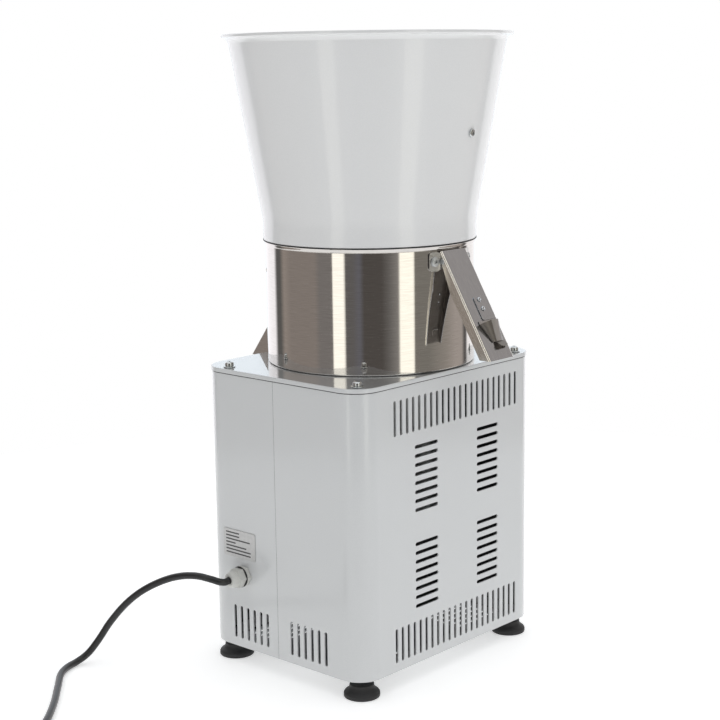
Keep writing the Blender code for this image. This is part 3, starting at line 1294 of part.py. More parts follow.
def make_tongue(hinge, lever, plate_low):
    """The springy tongue: a flat root, a half cone open at the top, and a tip that dips through the lever."""
    face = -LEVER_PIN_TO_FACE
    seat = face - GAP
    pivot = make_empty("catch_axis", hinge, (seat, TONGUE_SIDE_OFFSET, plate_low - GAP))
    sheet = CATCH_SHEET
    cone_top = -TONGUE_ROOT_LENGTH
    cone_low = cone_top - CONE_LENGTH
    tip = cone_low - TONGUE_TIP_LENGTH
    flat = [
        (-CONE_RIGHT_WIDTH, 0),
        (CONE_LEFT_WIDTH, 0),
        (CONE_LEFT_WIDTH, cone_top),
        (CONE_FOOT_LEFT_WIDTH, cone_low),
        (-CONE_RIGHT_WIDTH, cone_low),
    ]
    outward = Matrix(((0, 0, 1, 0), (1, 0, 0, 0), (0, 1, 0, 0), (0, 0, 0, 1)))
    bm = bmesh.new()
    add_prism(bm, flat, -sheet, 0, outward)
    tongue = mesh_object("catch_tongue", bm, "stainless", pivot)
    bm = bmesh.new()
    bottom = cone_section(CONE_FOOT_LEFT_WIDTH, CONE_RIGHT_WIDTH, sheet, cone_low)
    top = cone_section(CONE_LEFT_WIDTH, CONE_RIGHT_WIDTH, CONE_HEIGHT, cone_top)
    add_loops(bm, [bottom, top])
    cone = helper_object("tongue_cone", bm, pivot)
    half = TONGUE_WIDTH / 2
    side = [
        (-sheet, cone_low + sheet),
        (-sheet, cone_low),
        (TONGUE_DIP - sheet, tip),
        (TONGUE_DIP, tip),
        (0, cone_low),
        (0, cone_low + sheet),
    ]
    bm = bmesh.new()
    add_prism(bm, side, -half, half, Matrix.Rotation(math.radians(90), 4, "X"))
    combine(tongue, cone, "UNION")
    combine(tongue, helper_object("tongue_tip", bm, pivot), "UNION")
    bm = bmesh.new()
    wide = half + WINDOW_CLEARANCE
    low = tip - TONGUE_DIP / 2
    add_box(bm, (-OVERRUN, -wide, low), (LEVER_SHEET + OVERRUN, wide, cone_low + WINDOW_CLEARANCE))
    cut(lever, helper_object("catch_window", bm, pivot))


def lug_side():
    """A lug's side view, pin at zero: X towards the drum, Z up, round about the pin."""
    root = -(DRUM_RADIUS + GAP + BRACKET_SHEET / 2) - LEVER_PIN_X
    radius = LEVER_PIN_TO_FACE - LEVER_SHEET - GAP
    turns = [math.radians(90 + LUG_ARC_DEG * i / LUG_ARC_STEPS) for i in range(LUG_ARC_STEPS + 1)]
    arc = [(radius * math.cos(turn), radius * math.sin(turn)) for turn in turns]
    return [(root, radius)] + arc + [(root, -BRACKET_BASE_HEIGHT / 2)]


def make_bracket(mill):
    """The hinge bracket: a strap on the drum with two lugs inside the lever and two screwed ears."""
    place = make_empty("bracket_place", mill, (0, LEVER_SIDE_OFFSET, LEVER_PIN_Z))
    strap_half = LEVER_WIDTH / 2 + GAP
    lug_out = LEVER_WIDTH / 2 - LEVER_SHEET - GAP
    lug_in = lug_out - BRACKET_SHEET
    base_in = -(DRUM_RADIUS + GAP)
    low = -BRACKET_BASE_HEIGHT / 2
    high = BRACKET_BASE_HEIGHT / 2
    bm = bmesh.new()
    add_box(bm, (base_in - BRACKET_SHEET, -strap_half, low), (base_in, strap_half, high))
    bracket = mesh_object("lever_bracket", bm, "stainless", place)
    lugs = bmesh.new()
    upright = Matrix.Translation((LEVER_PIN_X, 0, 0)) @ Matrix.Rotation(math.radians(90), 4, "X")
    for inner, outer in ((lug_in, lug_out), (-lug_out, -lug_in)):
        add_prism(lugs, lug_side(), inner, outer, upright)
    ears = bmesh.new()
    holes = bmesh.new()
    profile = screw_profile(
        BRACKET_SCREW_SHANK_RADIUS, BRACKET_SCREW_LENGTH, BRACKET_SCREW_HEAD_RADIUS, BRACKET_SCREW_HEAD_HEIGHT
    )
    for number, side in ((1, 1), (2, -1)):
        root_y = side * (strap_half - BRACKET_SHEET / 2)
        tip_y = side * (strap_half + BRACKET_EAR_WIDTH)
        clear = DRUM_RADIUS + GAP
        root_x = base_in - BRACKET_SHEET / 4
        tip_x = -math.sqrt(clear**2 - (tip_y + LEVER_SIDE_OFFSET) ** 2) - GAP
        lean = math.atan2(tip_x - root_x, abs(tip_y - root_y))
        thick = BRACKET_SHEET / math.cos(lean)
        ear = [(root_x, root_y), (tip_x, tip_y), (tip_x - thick, tip_y), (root_x - thick, root_y)]
        tall = BRACKET_EAR_HEIGHT / 2
        add_prism(ears, ear, -tall, tall)
        screw_y = side * (strap_half + LEVER_PIN_HEAD_LENGTH + GAP + BRACKET_SCREW_HEAD_RADIUS)
        screw_x = root_x - thick + (tip_x - root_x) * (screw_y - root_y) / (tip_y - root_y)
        turn = Matrix.Rotation(math.radians(180) - side * lean, 4, "Z") @ along("X")
        seat = Matrix.Translation((screw_x, screw_y, 0)) @ turn
        bm = bmesh.new()
        add_turned(bm, profile, SCREW_SEGMENTS)
        screw = mesh_object(f"bracket_screw_{number}", bm, "zinc", place)
        screw.matrix_local = seat @ Matrix.Translation((0, 0, GAP))
        reach = BRACKET_SCREW_LENGTH + OVERRUN
        add_rod(holes, BRACKET_SCREW_SHANK_RADIUS + GAP, -reach, OVERRUN, SCREW_SEGMENTS, seat)
    combine(bracket, helper_object("bracket_ears", ears, place), "UNION")
    combine(bracket, helper_object("bracket_lugs", lugs, place), "UNION")
    bm = bmesh.new()
    reach = lug_out + OVERRUN
    pin_place = Matrix.Translation((LEVER_PIN_X, 0, 0)) @ along("Y")
    add_rod(bm, LEVER_PIN_RADIUS + GAP, -reach, reach, SCREW_SEGMENTS, pin_place)
    screw_holes = helper_object("bracket_screw_holes", holes, place)
    cut(bracket, helper_object("bracket_pin_hole", bm, place), screw_holes)
    cut(bpy.data.objects["drum_shell"], screw_holes)
    make_lever_pin(place, pin_place)


def make_lever_pin(place, pin_place):
    """The hinge pin with a head outside each side of the lever."""
    seat = LEVER_WIDTH / 2 + GAP
    tip = seat + LEVER_PIN_HEAD_LENGTH
    profile = [
        (0, -tip),
        (LEVER_PIN_HEAD_RADIUS, -tip),
        (LEVER_PIN_HEAD_RADIUS, -seat),
        (LEVER_PIN_RADIUS, -seat),
        (LEVER_PIN_RADIUS, seat),
        (LEVER_PIN_HEAD_RADIUS, seat),
        (LEVER_PIN_HEAD_RADIUS, tip),
        (0, tip),
    ]
    bm = bmesh.new()
    add_turned(bm, profile, SCREW_SEGMENTS)
    pin = mesh_object("lever_pin", bm, "zinc", place)
    pin.matrix_local = pin_place


def make_gland(mill, shell):
    """The cable gland in the back wall: a hexagonal body with a shank, and a domed nut."""
    place = make_empty("gland_axis", mill, (GLAND_X, WALL_BACK_Y, GLAND_Z))
    outward = along("Y")
    hex_low = GAP
    hex_high = hex_low + GLAND_HEX_LENGTH
    bm = bmesh.new()
    add_prism(bm, circle(GLAND_HEX_RADIUS, 6), hex_low, hex_high, outward)
    body = mesh_object("gland_body", bm, "grey_plastic", place)
    bm = bmesh.new()
    add_rod(bm, GLAND_SHANK_RADIUS, -GLAND_SHANK_LENGTH, hex_low + OVERRUN, GLAND_SEGMENTS, outward)
    combine(body, helper_object("gland_shank", bm, place), "UNION")
    bm = bmesh.new()
    add_rod(bm, GLAND_SHANK_RADIUS + GAP, -CASING_SHEET - OVERRUN, OVERRUN, GLAND_SEGMENTS, outward)
    cut(shell, helper_object("gland_hole", bm, place))
    nut_low = hex_high + GAP
    nut_high = nut_low + GLAND_NUT_HEX_LENGTH
    bm = bmesh.new()
    add_prism(bm, circle(GLAND_NUT_HEX_RADIUS, 6), nut_low, nut_high, outward)
    nut = mesh_object("gland_nut", bm, "grey_plastic", place)
    dome = [
        (0, nut_high - OVERRUN),
        (GLAND_DOME_RADIUS, nut_high - OVERRUN),
        (GLAND_DOME_RADIUS, nut_high + GLAND_DOME_LENGTH * 0.35),
        (GLAND_DOME_RADIUS * 0.88, nut_high + GLAND_DOME_LENGTH * 0.75),
        (GLAND_MOUTH_RADIUS, nut_high + GLAND_DOME_LENGTH),
        (0, nut_high + GLAND_DOME_LENGTH),
    ]
    bm = bmesh.new()
    add_turned(bm, dome, GLAND_SEGMENTS, outward)
    combine(nut, helper_object("gland_dome", bm, place), "UNION")


def make_rating_plate(mill):
    """The blank plate above the gland."""
    bm = bmesh.new()
    half_width = PLATE_WIDTH / 2
    half_height = PLATE_HEIGHT / 2
    low = (PLATE_X - half_width, WALL_BACK_Y + GAP, PLATE_Z - half_height)
    high = (PLATE_X + half_width, WALL_BACK_Y + GAP + PLATE_SHEET, PLATE_Z + half_height)
    add_box(bm, low, high)
    mesh_object("rating_plate", bm, "plate_silver", mill)


def make_switch(mill, shell):
    """The mains rocker switch in the front wall: a housing with a pocket, and the rocker in it."""
    place = make_empty("switch_place", mill, (SWITCH_X, -WALL_BACK_Y, SWITCH_Z))
    bezel_y = -GAP - SWITCH_BEZEL_SHEET
    body_x = SWITCH_BODY_WIDTH / 2
    body_z = SWITCH_BODY_HEIGHT / 2
    bm = bmesh.new()
    low = (-SWITCH_BEZEL_WIDTH / 2, bezel_y, -SWITCH_BEZEL_HEIGHT / 2)
    high = (SWITCH_BEZEL_WIDTH / 2, -GAP, SWITCH_BEZEL_HEIGHT / 2)
    add_box(bm, low, high)
    housing = mesh_object("switch_housing", bm, "black_plastic", place)
    bm = bmesh.new()
    add_box(bm, (-body_x, bezel_y / 2, -body_z), (body_x, SWITCH_BODY_DEPTH, body_z))
    combine(housing, helper_object("switch_body", bm, place), "UNION")
    pocket_x = body_x - SWITCH_WALL
    pocket_z = body_z - SWITCH_WALL
    bm = bmesh.new()
    pocket_back = bezel_y + SWITCH_POCKET_DEPTH
    add_box(bm, (-pocket_x, bezel_y - OVERRUN, -pocket_z), (pocket_x, pocket_back, pocket_z))
    cut(housing, helper_object("switch_pocket", bm, place))
    bm = bmesh.new()
    hole_x = body_x + GAP
    hole_z = body_z + GAP
    add_box(bm, (-hole_x, -OVERRUN, -hole_z), (hole_x, CASING_SHEET + OVERRUN, hole_z))
    cut(shell, helper_object("switch_hole", bm, place))
    axis = make_empty(
        "rocker_axis", place, (0, bezel_y + ROCKER_AXIS_DEPTH, 0), (math.radians(ROCKER_TILT_DEG), 0, 0)
    )
    tall = pocket_z - ROCKER_END_CLEARANCE
    wide = pocket_x - ROCKER_CLEARANCE
    section = [
        (-ROCKER_LOBE, tall),
        (-ROCKER_VALLEY, 0),
        (-ROCKER_LOBE, -tall),
        (0, -tall),
        (ROCKER_ROOT_DEPTH, -tall / 2),
        (ROCKER_ROOT_DEPTH, tall / 2),
        (0, tall),
    ]
    bm = bmesh.new()
    add_loops(bm, [[(x, y, z) for y, z in section] for x in (-wide, wide)])
    mesh_object("rocker_button", bm, "red_plastic", axis)


def smooth_route(points, spacing):
    """Evenly spaced points on a smooth curve through the given ones, between two straight end pieces."""
    guide = [Vector(point) for point in points]
    fine = []
    for a, b, c, d in zip(guide, guide[1:], guide[2:], guide[3:]):
        for i in range(CURVE_STEPS):
            t = i / CURVE_STEPS
            along_curve = (2 * b) + (c - a) * t + (2 * a - 5 * b + 4 * c - d) * t**2
            fine.append((along_curve + (3 * b - a - 3 * c + d) * t**3) / 2)
    fine.append(guide[-2])
    total = sum((q - p).length for p, q in zip(fine, fine[1:]))
    count = max(2, round(total / spacing))
    even = [fine[0]]
    walked = 0
    target = total / count
    for p, q in zip(fine, fine[1:]):
        step = (q - p).length
        while walked + step >= target * len(even) and len(even) < count:
            even.append(p.lerp(q, (target * len(even) - walked) / step))
        walked += step
    even = [guide[0]] + even + [fine[-1], guide[-1]]
    return even, total + (guide[1] - guide[0]).length + (guide[-1] - guide[-2]).length


def coil_points():
    """A coil in two layers: the turns spiral in on the floor, climb a layer and spiral out again."""
    steps = COIL_TURNS * COIL_POINTS_PER_TURN
    centre = CORD_ORIGIN + Vector((*COIL_CENTRE, 0))
    start_radius = COIL_MIDDLE_RADIUS + COIL_PITCH * COIL_TURNS / 4
    floor_z = CORD_RADIUS + GAP
    points = []
    for i in range(steps + 1):
        turns = i / COIL_POINTS_PER_TURN
        from_middle = turns - COIL_TURNS / 2
        radius = start_radius - COIL_PITCH * (COIL_TURNS / 2 - abs(from_middle))
        share = min(max(from_middle * 2 + 0.5, 0), 1)
        climb = share * share * (3 - 2 * share)
        angle = math.radians(COIL_START_DEG) + math.tau * turns
        offset = Vector((radius * math.cos(angle), radius * math.sin(angle), floor_z + COIL_PITCH * climb))
        points.append(centre + offset)
    lead_in = (points[0] - points[1]).normalized() * CORD_DIAMETER
    rise = PLUG_FACE_RADIUS - points[-1].z
    slope = rise / (PLUG_RELIEF_LENGTH + PLUG_BODY_LENGTH)
    lead_out = ((points[-1] - points[-2]).normalized() + Vector((0, 0, slope))).normalized()
    return [points[0] + lead_in] + points + [points[-1] + lead_out * CORD_DIAMETER], lead_out


def least_gap(points):
    """The smallest space between the tube's surface and its own other turns."""
    away = COIL_POINTS_PER_TURN // 2
    samples = []
    for p, q in zip(points, points[1:]):
        samples.extend(p.lerp(q, share) for share in (0, 0.5))
    least = math.inf
    for i, p in enumerate(samples):
        for q in samples[i + 2 * away:]:
            least = min(least, (p - q).length)
    return least - CORD_DIAMETER


def tube(name, points, bevel_resolution, finish, parent):
    """A round tube along points, with filled ends."""
    curve = bpy.data.curves.new(name, "CURVE")
    curve.dimensions = "3D"
    curve.bevel_depth = CORD_RADIUS
    curve.bevel_resolution = bevel_resolution
    curve.use_fill_caps = True
    spline = curve.splines.new("POLY")
    spline.points.add(len(points) - 1)
    for place, point in zip(spline.points, points):
        place.co = (*point, 1)
    return link(bpy.data.objects.new(name, curve), finish, parent)


def make_cord(mill):
    """The mains cord from the gland to the floor, the coil it is put away in, and its plug."""
    turns, lead_out = coil_points()
    print("least gap of the coil to itself, in mm:", round(least_gap(turns) * 1000, 2))
    arrival = (turns[0] - turns[1]).normalized()
    coil_end = turns[0] + arrival * GAP
    approach = coil_end + arrival * CORD_DIAMETER
    route = [CORD_ORIGIN + Vector(point) for point in CORD_ROUTE] + [approach, coil_end]
    run, length = smooth_route(route, CORD_SPACING)
    tube("power_cord", run, 2, "black_rubber", mill)
    tube("cord_coil", turns, 1, "black_rubber", mill)
    coil_length = sum((q - p).length for p, q in zip(turns, turns[1:]))
    print("cord run and coil, in m:", round(length, 3), round(coil_length, 3))
    make_plug(mill, turns[-1] + lead_out * GAP, lead_out)


def make_plug(mill, start, direction):
    """A moulded two-pin plug with earth contacts, lying on the floor beside the coil."""
    turn = direction.to_track_quat("Z", "Y").to_matrix().to_4x4()
    place = Matrix.Translation(start) @ turn
    body_z = PLUG_RELIEF_LENGTH
    face_z = PLUG_RELIEF_LENGTH + PLUG_BODY_LENGTH
    profile = [
        (0, 0),
        (PLUG_REAR_RADIUS * 0.8, 0),
        (PLUG_REAR_RADIUS, body_z * 0.9),
        (PLUG_FACE_RADIUS * 0.72, body_z + PLUG_BODY_LENGTH * 0.25),
        (PLUG_FACE_RADIUS * 0.96, body_z + PLUG_BODY_LENGTH * 0.55),
        (PLUG_FACE_RADIUS * 0.98, face_z),
        (0, face_z),
    ]
    bm = bmesh.new()
    add_turned(bm, profile, PLUG_SEGMENTS)
    plug = mesh_object("plug", bm, "black_plastic", mill)
    plug.matrix_local = place
    pins = bmesh.new()
    for side in (-1, 1):
        offset = Matrix.Translation((side * PLUG_PIN_SPACING / 2, 0, 0))
        add_rod(pins, PLUG_PIN_RADIUS, face_z - OVERRUN, face_z + PLUG_PIN_LENGTH, SCREW_SEGMENTS, offset)
    pins_helper = helper_object("plug_pins", pins, mill)
    pins_helper.matrix_local = place
    combine(plug, pins_helper, "UNION")


def lever_reach():
    """How far the lever's lower end stands out from the drum's axis."""
    lean = math.radians(LEVER_ANGLE_DEG)
    return -LEVER_PIN_X + LEVER_PIN_TO_FACE * math.cos(lean) + LEVER_BELOW_PIN * math.sin(lean)


def make_mill():
    """The whole mill. Its empty stands on the drum's axis, so that the origin is below the box's middle."""
    mill = make_empty("mill", None, ((lever_reach() - HOPPER_RIM_RADIUS) / 2, 0, 0))
    right_shell = make_casing(mill)
    make_hopper(mill)
    make_lever(mill)
    make_gland(mill, right_shell)
    make_rating_plate(mill)
    make_switch(mill, right_shell)
    make_cord(mill)


remove_everything()
make_mill()
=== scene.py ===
"""Looks of the electric grain mill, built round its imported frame. Units are metres, +Z is up. Pieces are
made in the drum's own frame, whose axis is X = 0 and Y = 0, and then moved to where the frame has it."""

import math

import bmesh
import bpy
from mathutils import Matrix, Vector


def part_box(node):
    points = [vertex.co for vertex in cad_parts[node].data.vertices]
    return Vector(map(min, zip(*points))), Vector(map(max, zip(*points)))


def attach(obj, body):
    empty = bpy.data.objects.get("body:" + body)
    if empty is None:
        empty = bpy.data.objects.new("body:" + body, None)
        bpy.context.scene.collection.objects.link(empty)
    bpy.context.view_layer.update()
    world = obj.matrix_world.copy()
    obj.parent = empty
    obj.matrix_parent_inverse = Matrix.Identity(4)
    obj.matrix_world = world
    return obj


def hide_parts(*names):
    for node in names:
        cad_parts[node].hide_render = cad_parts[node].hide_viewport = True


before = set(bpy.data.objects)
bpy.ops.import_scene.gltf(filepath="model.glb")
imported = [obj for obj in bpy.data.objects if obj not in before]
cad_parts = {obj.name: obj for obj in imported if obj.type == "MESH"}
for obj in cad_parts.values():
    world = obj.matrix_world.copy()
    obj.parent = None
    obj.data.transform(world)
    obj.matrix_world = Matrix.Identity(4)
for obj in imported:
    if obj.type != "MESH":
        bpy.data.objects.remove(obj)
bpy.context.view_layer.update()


def lowest(node):
    """The lowest corner of a CAD node's box."""
    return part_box(node)[0]


def highest(node):
    """The highest corner of a CAD node's box."""
    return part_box(node)[1]


# Clearances, edges and fineness shared by many pieces
GAP = 0.0003
OVER = 0.002
SHEET_EDGE = 0.0003
FINE_EDGE = 0.0002
SMOOTH_DEG = 40
HOLE_SEGMENTS = 24
SMALL_SEGMENTS = 32
SCREW_SEGMENTS = 40
GLAND_SEGMENTS = 48
FOOT_SEGMENTS = 64
RING_SEGMENTS = 96
ROUND_SEGMENTS = 192
CASE_CORNER_SEGMENTS = 20
CORNER_SEGMENTS = 6

# The drum's axis, where every piece is placed from
AXIS_X = (lowest("sieve_plate").x + highest("sieve_plate").x) / 2
AXIS = Vector((AXIS_X, 0, 0))

# Casing, from its box
CASE_SHEET = 0.0015
CASE_CORNER = 0.03
CASE_FLANGE = 0.026
SEAM_X = 0.006
HALF_WIDTH = AXIS_X - lowest("casing_left_shell").x
HALF_DEPTH = highest("casing_left_shell").y
CASE_LOW_Z = lowest("casing_left_shell").z
CASE_TOP_Z = highest("casing_left_shell").z
RIM_GROOVE = 0.0008
BEND_SLOPE = 0.2
FLANGE_Z = highest("bottom_plate").z + GAP
HOLE_REACH = 0.004
SCREW_HOLE_RADIUS = 0.0028
STUD_HOLE_RADIUS = 0.0033

# Vent slots
SLOT_WIDTH = 0.0042
SLOT_LENGTH = 0.039
SLOT_PITCH = 0.0101
SLOT_END_SEGMENTS = 8
ROW_COUNT = 22
ROW_FROM_EDGE = 0.034
BLOCK_COUNT = 8
BLOCK_SPREAD = 0.1082
VENT_CENTRE_Y = -0.0085
UPPER_BLOCK_FROM_EDGE = 0.071
LOWER_BLOCK_FROM_EDGE = 0.066
LOW_ROW_FROM_EDGE = 0.0295
BACK_COUNT = 6
BACK_PITCH = 0.0104
BACK_SPREAD = 0.0901
BACK_MIDDLE_X = 0.0037

# Top cover and its screws
COVER_SHEET = 0.0015
COVER_OVERHANG = 0.001
COVER_EDGE = 0.0012
COVER_EDGE_SEGMENTS = 6
COVER_RIM_SLOPE = 0.94
COVER_BORE_RADIUS = 0.014
COVER_RIM_Z = lowest("top_cover").z
COVER_TOP_Z = highest("top_cover").z
BOLT_HOLE_RADIUS = 0.0043
WASHER_HEIGHT = 0.0012

# Drum and hood
DRUM_WALL = 0.0012
DRUM_FLANGE = 0.012
DRUM_FOOT_ROUND = 0.002
DRUM_LIP_STEP = 0.002
DRUM_LIP_HEIGHT = 0.004
LIP_SHARES = ((0, -0.1), (0.4, 0.02), (0.62, 0.18), (0.9, 0.8), (1, 0.94), (0.85, 1))
SPOT_DEG = 51
SPOT_Z = 0.449
SPOT_RADIUS = 0.0024
DRUM_LOW_Z = lowest("drum_shell").z
DRUM_TOP_Z = highest("drum_shell").z
DRUM_RADIUS = highest("drum_shell").y - DRUM_LIP_STEP
DRUM_HOLE_DEPTH = 0.012
FLOOR_SHEET_TOP = 0.0045
WINDOW_MARGIN = 0.003
WINDOW_HEIGHT = 0.033
HOOD_SHEET = 0.0012
HOOD_HALF = highest("outlet_hood").y
HOOD_TIP_X = highest("outlet_hood").x - AXIS_X
HOOD_TIP_Z = lowest("outlet_hood").z
HOOD_RISE = 0.0447

# Hopper, funnel and guard
HOPPER_SHEET = 0.0012
HOPPER_Z = lowest("hopper").z
HOPPER_RIM_RADIUS = highest("hopper").y
COLLAR_RADIUS = DRUM_RADIUS + DRUM_LIP_STEP
COLLAR_EDGE = 0.0003
COLLAR_EDGE_HEIGHT = 0.0004
COLLAR_HEIGHT = 0.0225
HOPPER_CONE_Z = HOPPER_Z + COLLAR_HEIGHT
HOPPER_BEND = 0.0068
HOPPER_BEND_STEPS = 8
COLLAR_RING_SHEET = 0.0003
COLLAR_RING_HEIGHT = 0.0011
HOPPER_CONE_RADIUS = 0.1543
HOPPER_RIM_HEIGHT = 0.0095
HOPPER_RIM_Z = highest("hopper").z - HOPPER_RIM_HEIGHT
RIM_SHARES = ((0, 0), (0.36, 0.5), (0.96, 0.64), (1, 0.9), (0.88, 1))
INNER_RIM_SHARES = ((0.6, 1), (0.24, 0.66), (0, 0))
FUNNEL_SHEET = 0.0015
FUNNEL_THROAT_RADIUS = 0.045
FUNNEL_DROP = 0.05
FUNNEL_THROAT_LENGTH = 0.008
FUNNEL_SPIGOT = 0.012
GUARD_SHEET = 0.002
GUARD_Z = lowest("hopper_guard").z
GUARD_RADIUS = 0.07
GUARD_BAR_WIDTH = 0.012
GUARD_CLEARANCE = 0.0015
TAB_WIDTH = 0.02
TAB_HEIGHT = 0.016
TAB_CORNER = 0.0035
GUARD_DEG = 185
GUARD_HOLE_RADIUS = 0.0023
WALL_HOLE_DEPTH = 0.01

# Clamp lever, catch and bracket
LEVER_LEAN_DEG = 30.2
LEVER_OFFSET = -0.0006
LEVER_HALF = 0.0214
LEVER_SHEET = 0.0012
LEVER_BEND = 0.0026
LEVER_INNER_BEND = 0.0014
LEVER_BEND_SEGMENTS = 8
LEVER_DEPTH = 0.012
LEVER_ABOVE_PIN = 0.0105
LEVER_BELOW_PIN = 0.1208
LEVER_TAPER = 0.034
PIN_TO_FACE = 0.0042
PIN_STANDOFF = 0.0047
PIN_BELOW_DRUM_TOP = 0.0165
PIN_RADIUS = 0.0015
PIN_HEAD_RADIUS = 0.0028
PIN_HEAD = 0.0008
PIN_X = -(DRUM_RADIUS + PIN_STANDOFF)
PIN_Z = DRUM_TOP_Z - PIN_BELOW_DRUM_TOP
BRACKET_SHEET = 0.0012
EAR_WIDTH = 0.0124
EAR_HEIGHT = 0.021
EAR_CORNER = 0.0045
STRAP_HALF_HEIGHT = 0.00875
BRACKET_SCREW_HEAD = 0.0052
BRACKET_HOLE_RADIUS = 0.0024
CATCH_SHEET = 0.0008
CATCH_BELOW_PIN = 0.0469
CATCH_LENGTH = 0.0281
CATCH_WIDTH = 0.0224
CATCH_OFFSET = -0.007
CATCH_CORNER = 0.003
RIVET_SPACING = 0.0108
RIVET_OFFSET = -0.0036
RIVET_FROM_TOP = 0.0042
RIVET_HOLE_RADIUS = 0.0017
RIVET_HOLE_REACH = 0.003
RIVET_PROFILE = (
    (0, -0.0025), (0.0014, -0.0025), (0.0014, 0), (0.0027, 0), (0.0027, 0.0004),
    (0.0023, 0.0009), (0.0016, 0.0011), (0.0012, 0.0008), (0.0006, 0.0006), (0, 0.0006),
)
TONGUE_WIDTH = 0.016
TONGUE_OFFSET = -0.0055
TONGUE_ROOT = 0.0035
TONGUE_SEGMENTS = 8
TIP_LENGTH = 0.007
TIP_WIDTH = 0.0125
TIP_CORNER = 0.004
TIP_DIP = 0.005
# A dark sheet behind the lever's window stands in for the shade seen through it.
WINDOW_SHADE_LENGTH = 0.01
WINDOW_SHADE_DEPTH = 0.0028
CONE_LEFT = 0.018
CONE_RIGHT = 0.009
CONE_FOOT_LEFT = 0.0095
CONE_HEIGHT = 0.011
CONE_LENGTH = 0.022
CONE_STEPS = 24
WINDOW_CLEARANCE = 0.0008
WINDOW_CORNER = 0.003

# Gland and rating plate
GLAND_X = (lowest("gland_body").x + highest("gland_body").x) / 2 - AXIS_X
GLAND_Z = (lowest("gland_body").z + highest("gland_body").z) / 2
GLAND_HEX_RADIUS = 0.0122
GLAND_HEX_LENGTH = 0.0068
NUT_HEX_RADIUS = 0.0116
NUT_LENGTH = 0.0085
SEAL_SHEET = 0.0004
SHANK_RADIUS = 0.0075
SHANK_LENGTH = 0.012
GLAND_EDGE = 0.0008
DOME_LENGTH = 0.0085
DOME_FOOT_RADIUS = 0.01
DOME = ((0.0098, 0.25), (0.0091, 0.6), (0.0078, 0.88), (0.0064, 1))
GLAND_BORE_RADIUS = 0.0044
PLATE_CORNER = 0.002
PLATE_EDGE = 0.00012
RULE_SHARES = (0.5, 0.5, 0.9, 0.36, 0.76, 0.92, 0.92)
RULE_HALF_HEIGHT = 0.0008
RULE_SHEET = 0.00005

# Rocker switch
SWITCH_WALL = 0.0016
SWITCH_CORNER = 0.003
SWITCH_BODY_CORNER = 0.001
SWITCH_HALF_WIDTH = 0.011
SWITCH_HALF_HEIGHT = 0.0155
BEZEL_SHEET = 0.0025
POCKET_DEPTH = 0.014
SWITCH_EDGE = 0.0004
ROCKER_TILT_DEG = 8
ROCKER_AXIS_DEPTH = 0.003
ROCKER_VALLEY = 0.0032
ROCKER_RISE = 0.0023
ROCKER_ROOT = 0.004
ROCKER_CLEARANCE = 0.0004
ROCKER_END_CLEARANCE = 0.0011
ROCKER_STEPS = 12
MARK_SHARE = 0.6
MARK_HEIGHTS = (-0.0001, 0.00015)
OFF_MARK_RADII = (0.0017, 0.0026)
ON_MARK = (0.0005, 0.0026, 0.0004)

# Feet
FOOT_RADIUS = 0.02
FOOT_NECK = 0.0135
FOOT_HEIGHT = 0.015
FOOT_HOLLOW = 0.0006
FOOT_ROUND = 0.0014
FOOT_TOP_ROUND = 0.0012
STUD_RADIUS = 0.0042
FOOT_SOCKET_Z = 0.0075
FOOT_FLARE_Z = 0.0062
FOOT_WAIST_Z = 0.0095
FOOT_NECK_LENGTH = 0.0022

# Mains cord, its coil and its plug
CORD_DIAMETER = 0.008
CORD_SPACING = 0.014
CURVE_STEPS = 24
COIL_TURNS = 4
COIL_POINTS = 24
COIL_MIDDLE_RADIUS = 0.043
COIL_PITCH = 0.0087
COIL_CENTRE = (-0.066, 0.3305)
COIL_START_DEG = 20
PLUG_REAR_RADIUS = 0.0075
PLUG_RADIUS = 0.0185
PLUG_RELIEF = 0.016
PLUG_BODY = 0.034
PLUG_RIBS = 5
PLUG_RIB_SHARES = ((1, 0), (1, 0.6), (0.86, 0.65), (0.86, 0.95))
PLUG_ROUND = 0.0015
PLUG_PIN_RADIUS = 0.0024
PLUG_PIN_LENGTH = 0.019
PLUG_PIN_SPACING = 0.019
PLUG_PIN_ROUND = 0.001
CORD_ORIGIN = Vector((GLAND_X, HALF_DEPTH, 0))

# Route of the free cord, listed: across and out from the gland's middle on the wall, then the height
CORD_ROUTE = (
    (0, 0.0248, 0.109), (0, 0.0328, 0.109), (0.011, 0.0425, 0.113), (0.0306, 0.0505, 0.115),
    (0.057, 0.0605, 0.109), (0.0829, 0.0751, 0.095), (0.107, 0.0845, 0.075), (0.1276, 0.0929, 0.05),
    (0.138, 0.1015, 0.03), (0.1465, 0.1105, 0.014), (0.151, 0.1215, 0.0062), (0.15, 0.1355, 0.0045),
    (0.138, 0.1575, 0.0045), (0.11, 0.1835, 0.0045), (0.075, 0.2155, 0.0045), (0.042, 0.2505, 0.0045),
    (0.012, 0.2905, 0.0045),
)

# Camera, from the photograph, in the drum's frame
CAMERA_PLACE = (-1.19559, 1.33220, 0.67478)
CAMERA_RIGHT = (-0.74102, -0.67141, -0.01369)
CAMERA_UP = (0.11318, -0.14497, 0.98290)
CAMERA_BACK = (-0.66190, 0.72680, 0.18340)
CAMERA_LENS_MM = 79.09
CAMERA_SENSOR_MM = 36
CAMERA_AZIMUTH = math.atan2(CAMERA_PLACE[1], CAMERA_PLACE[0])

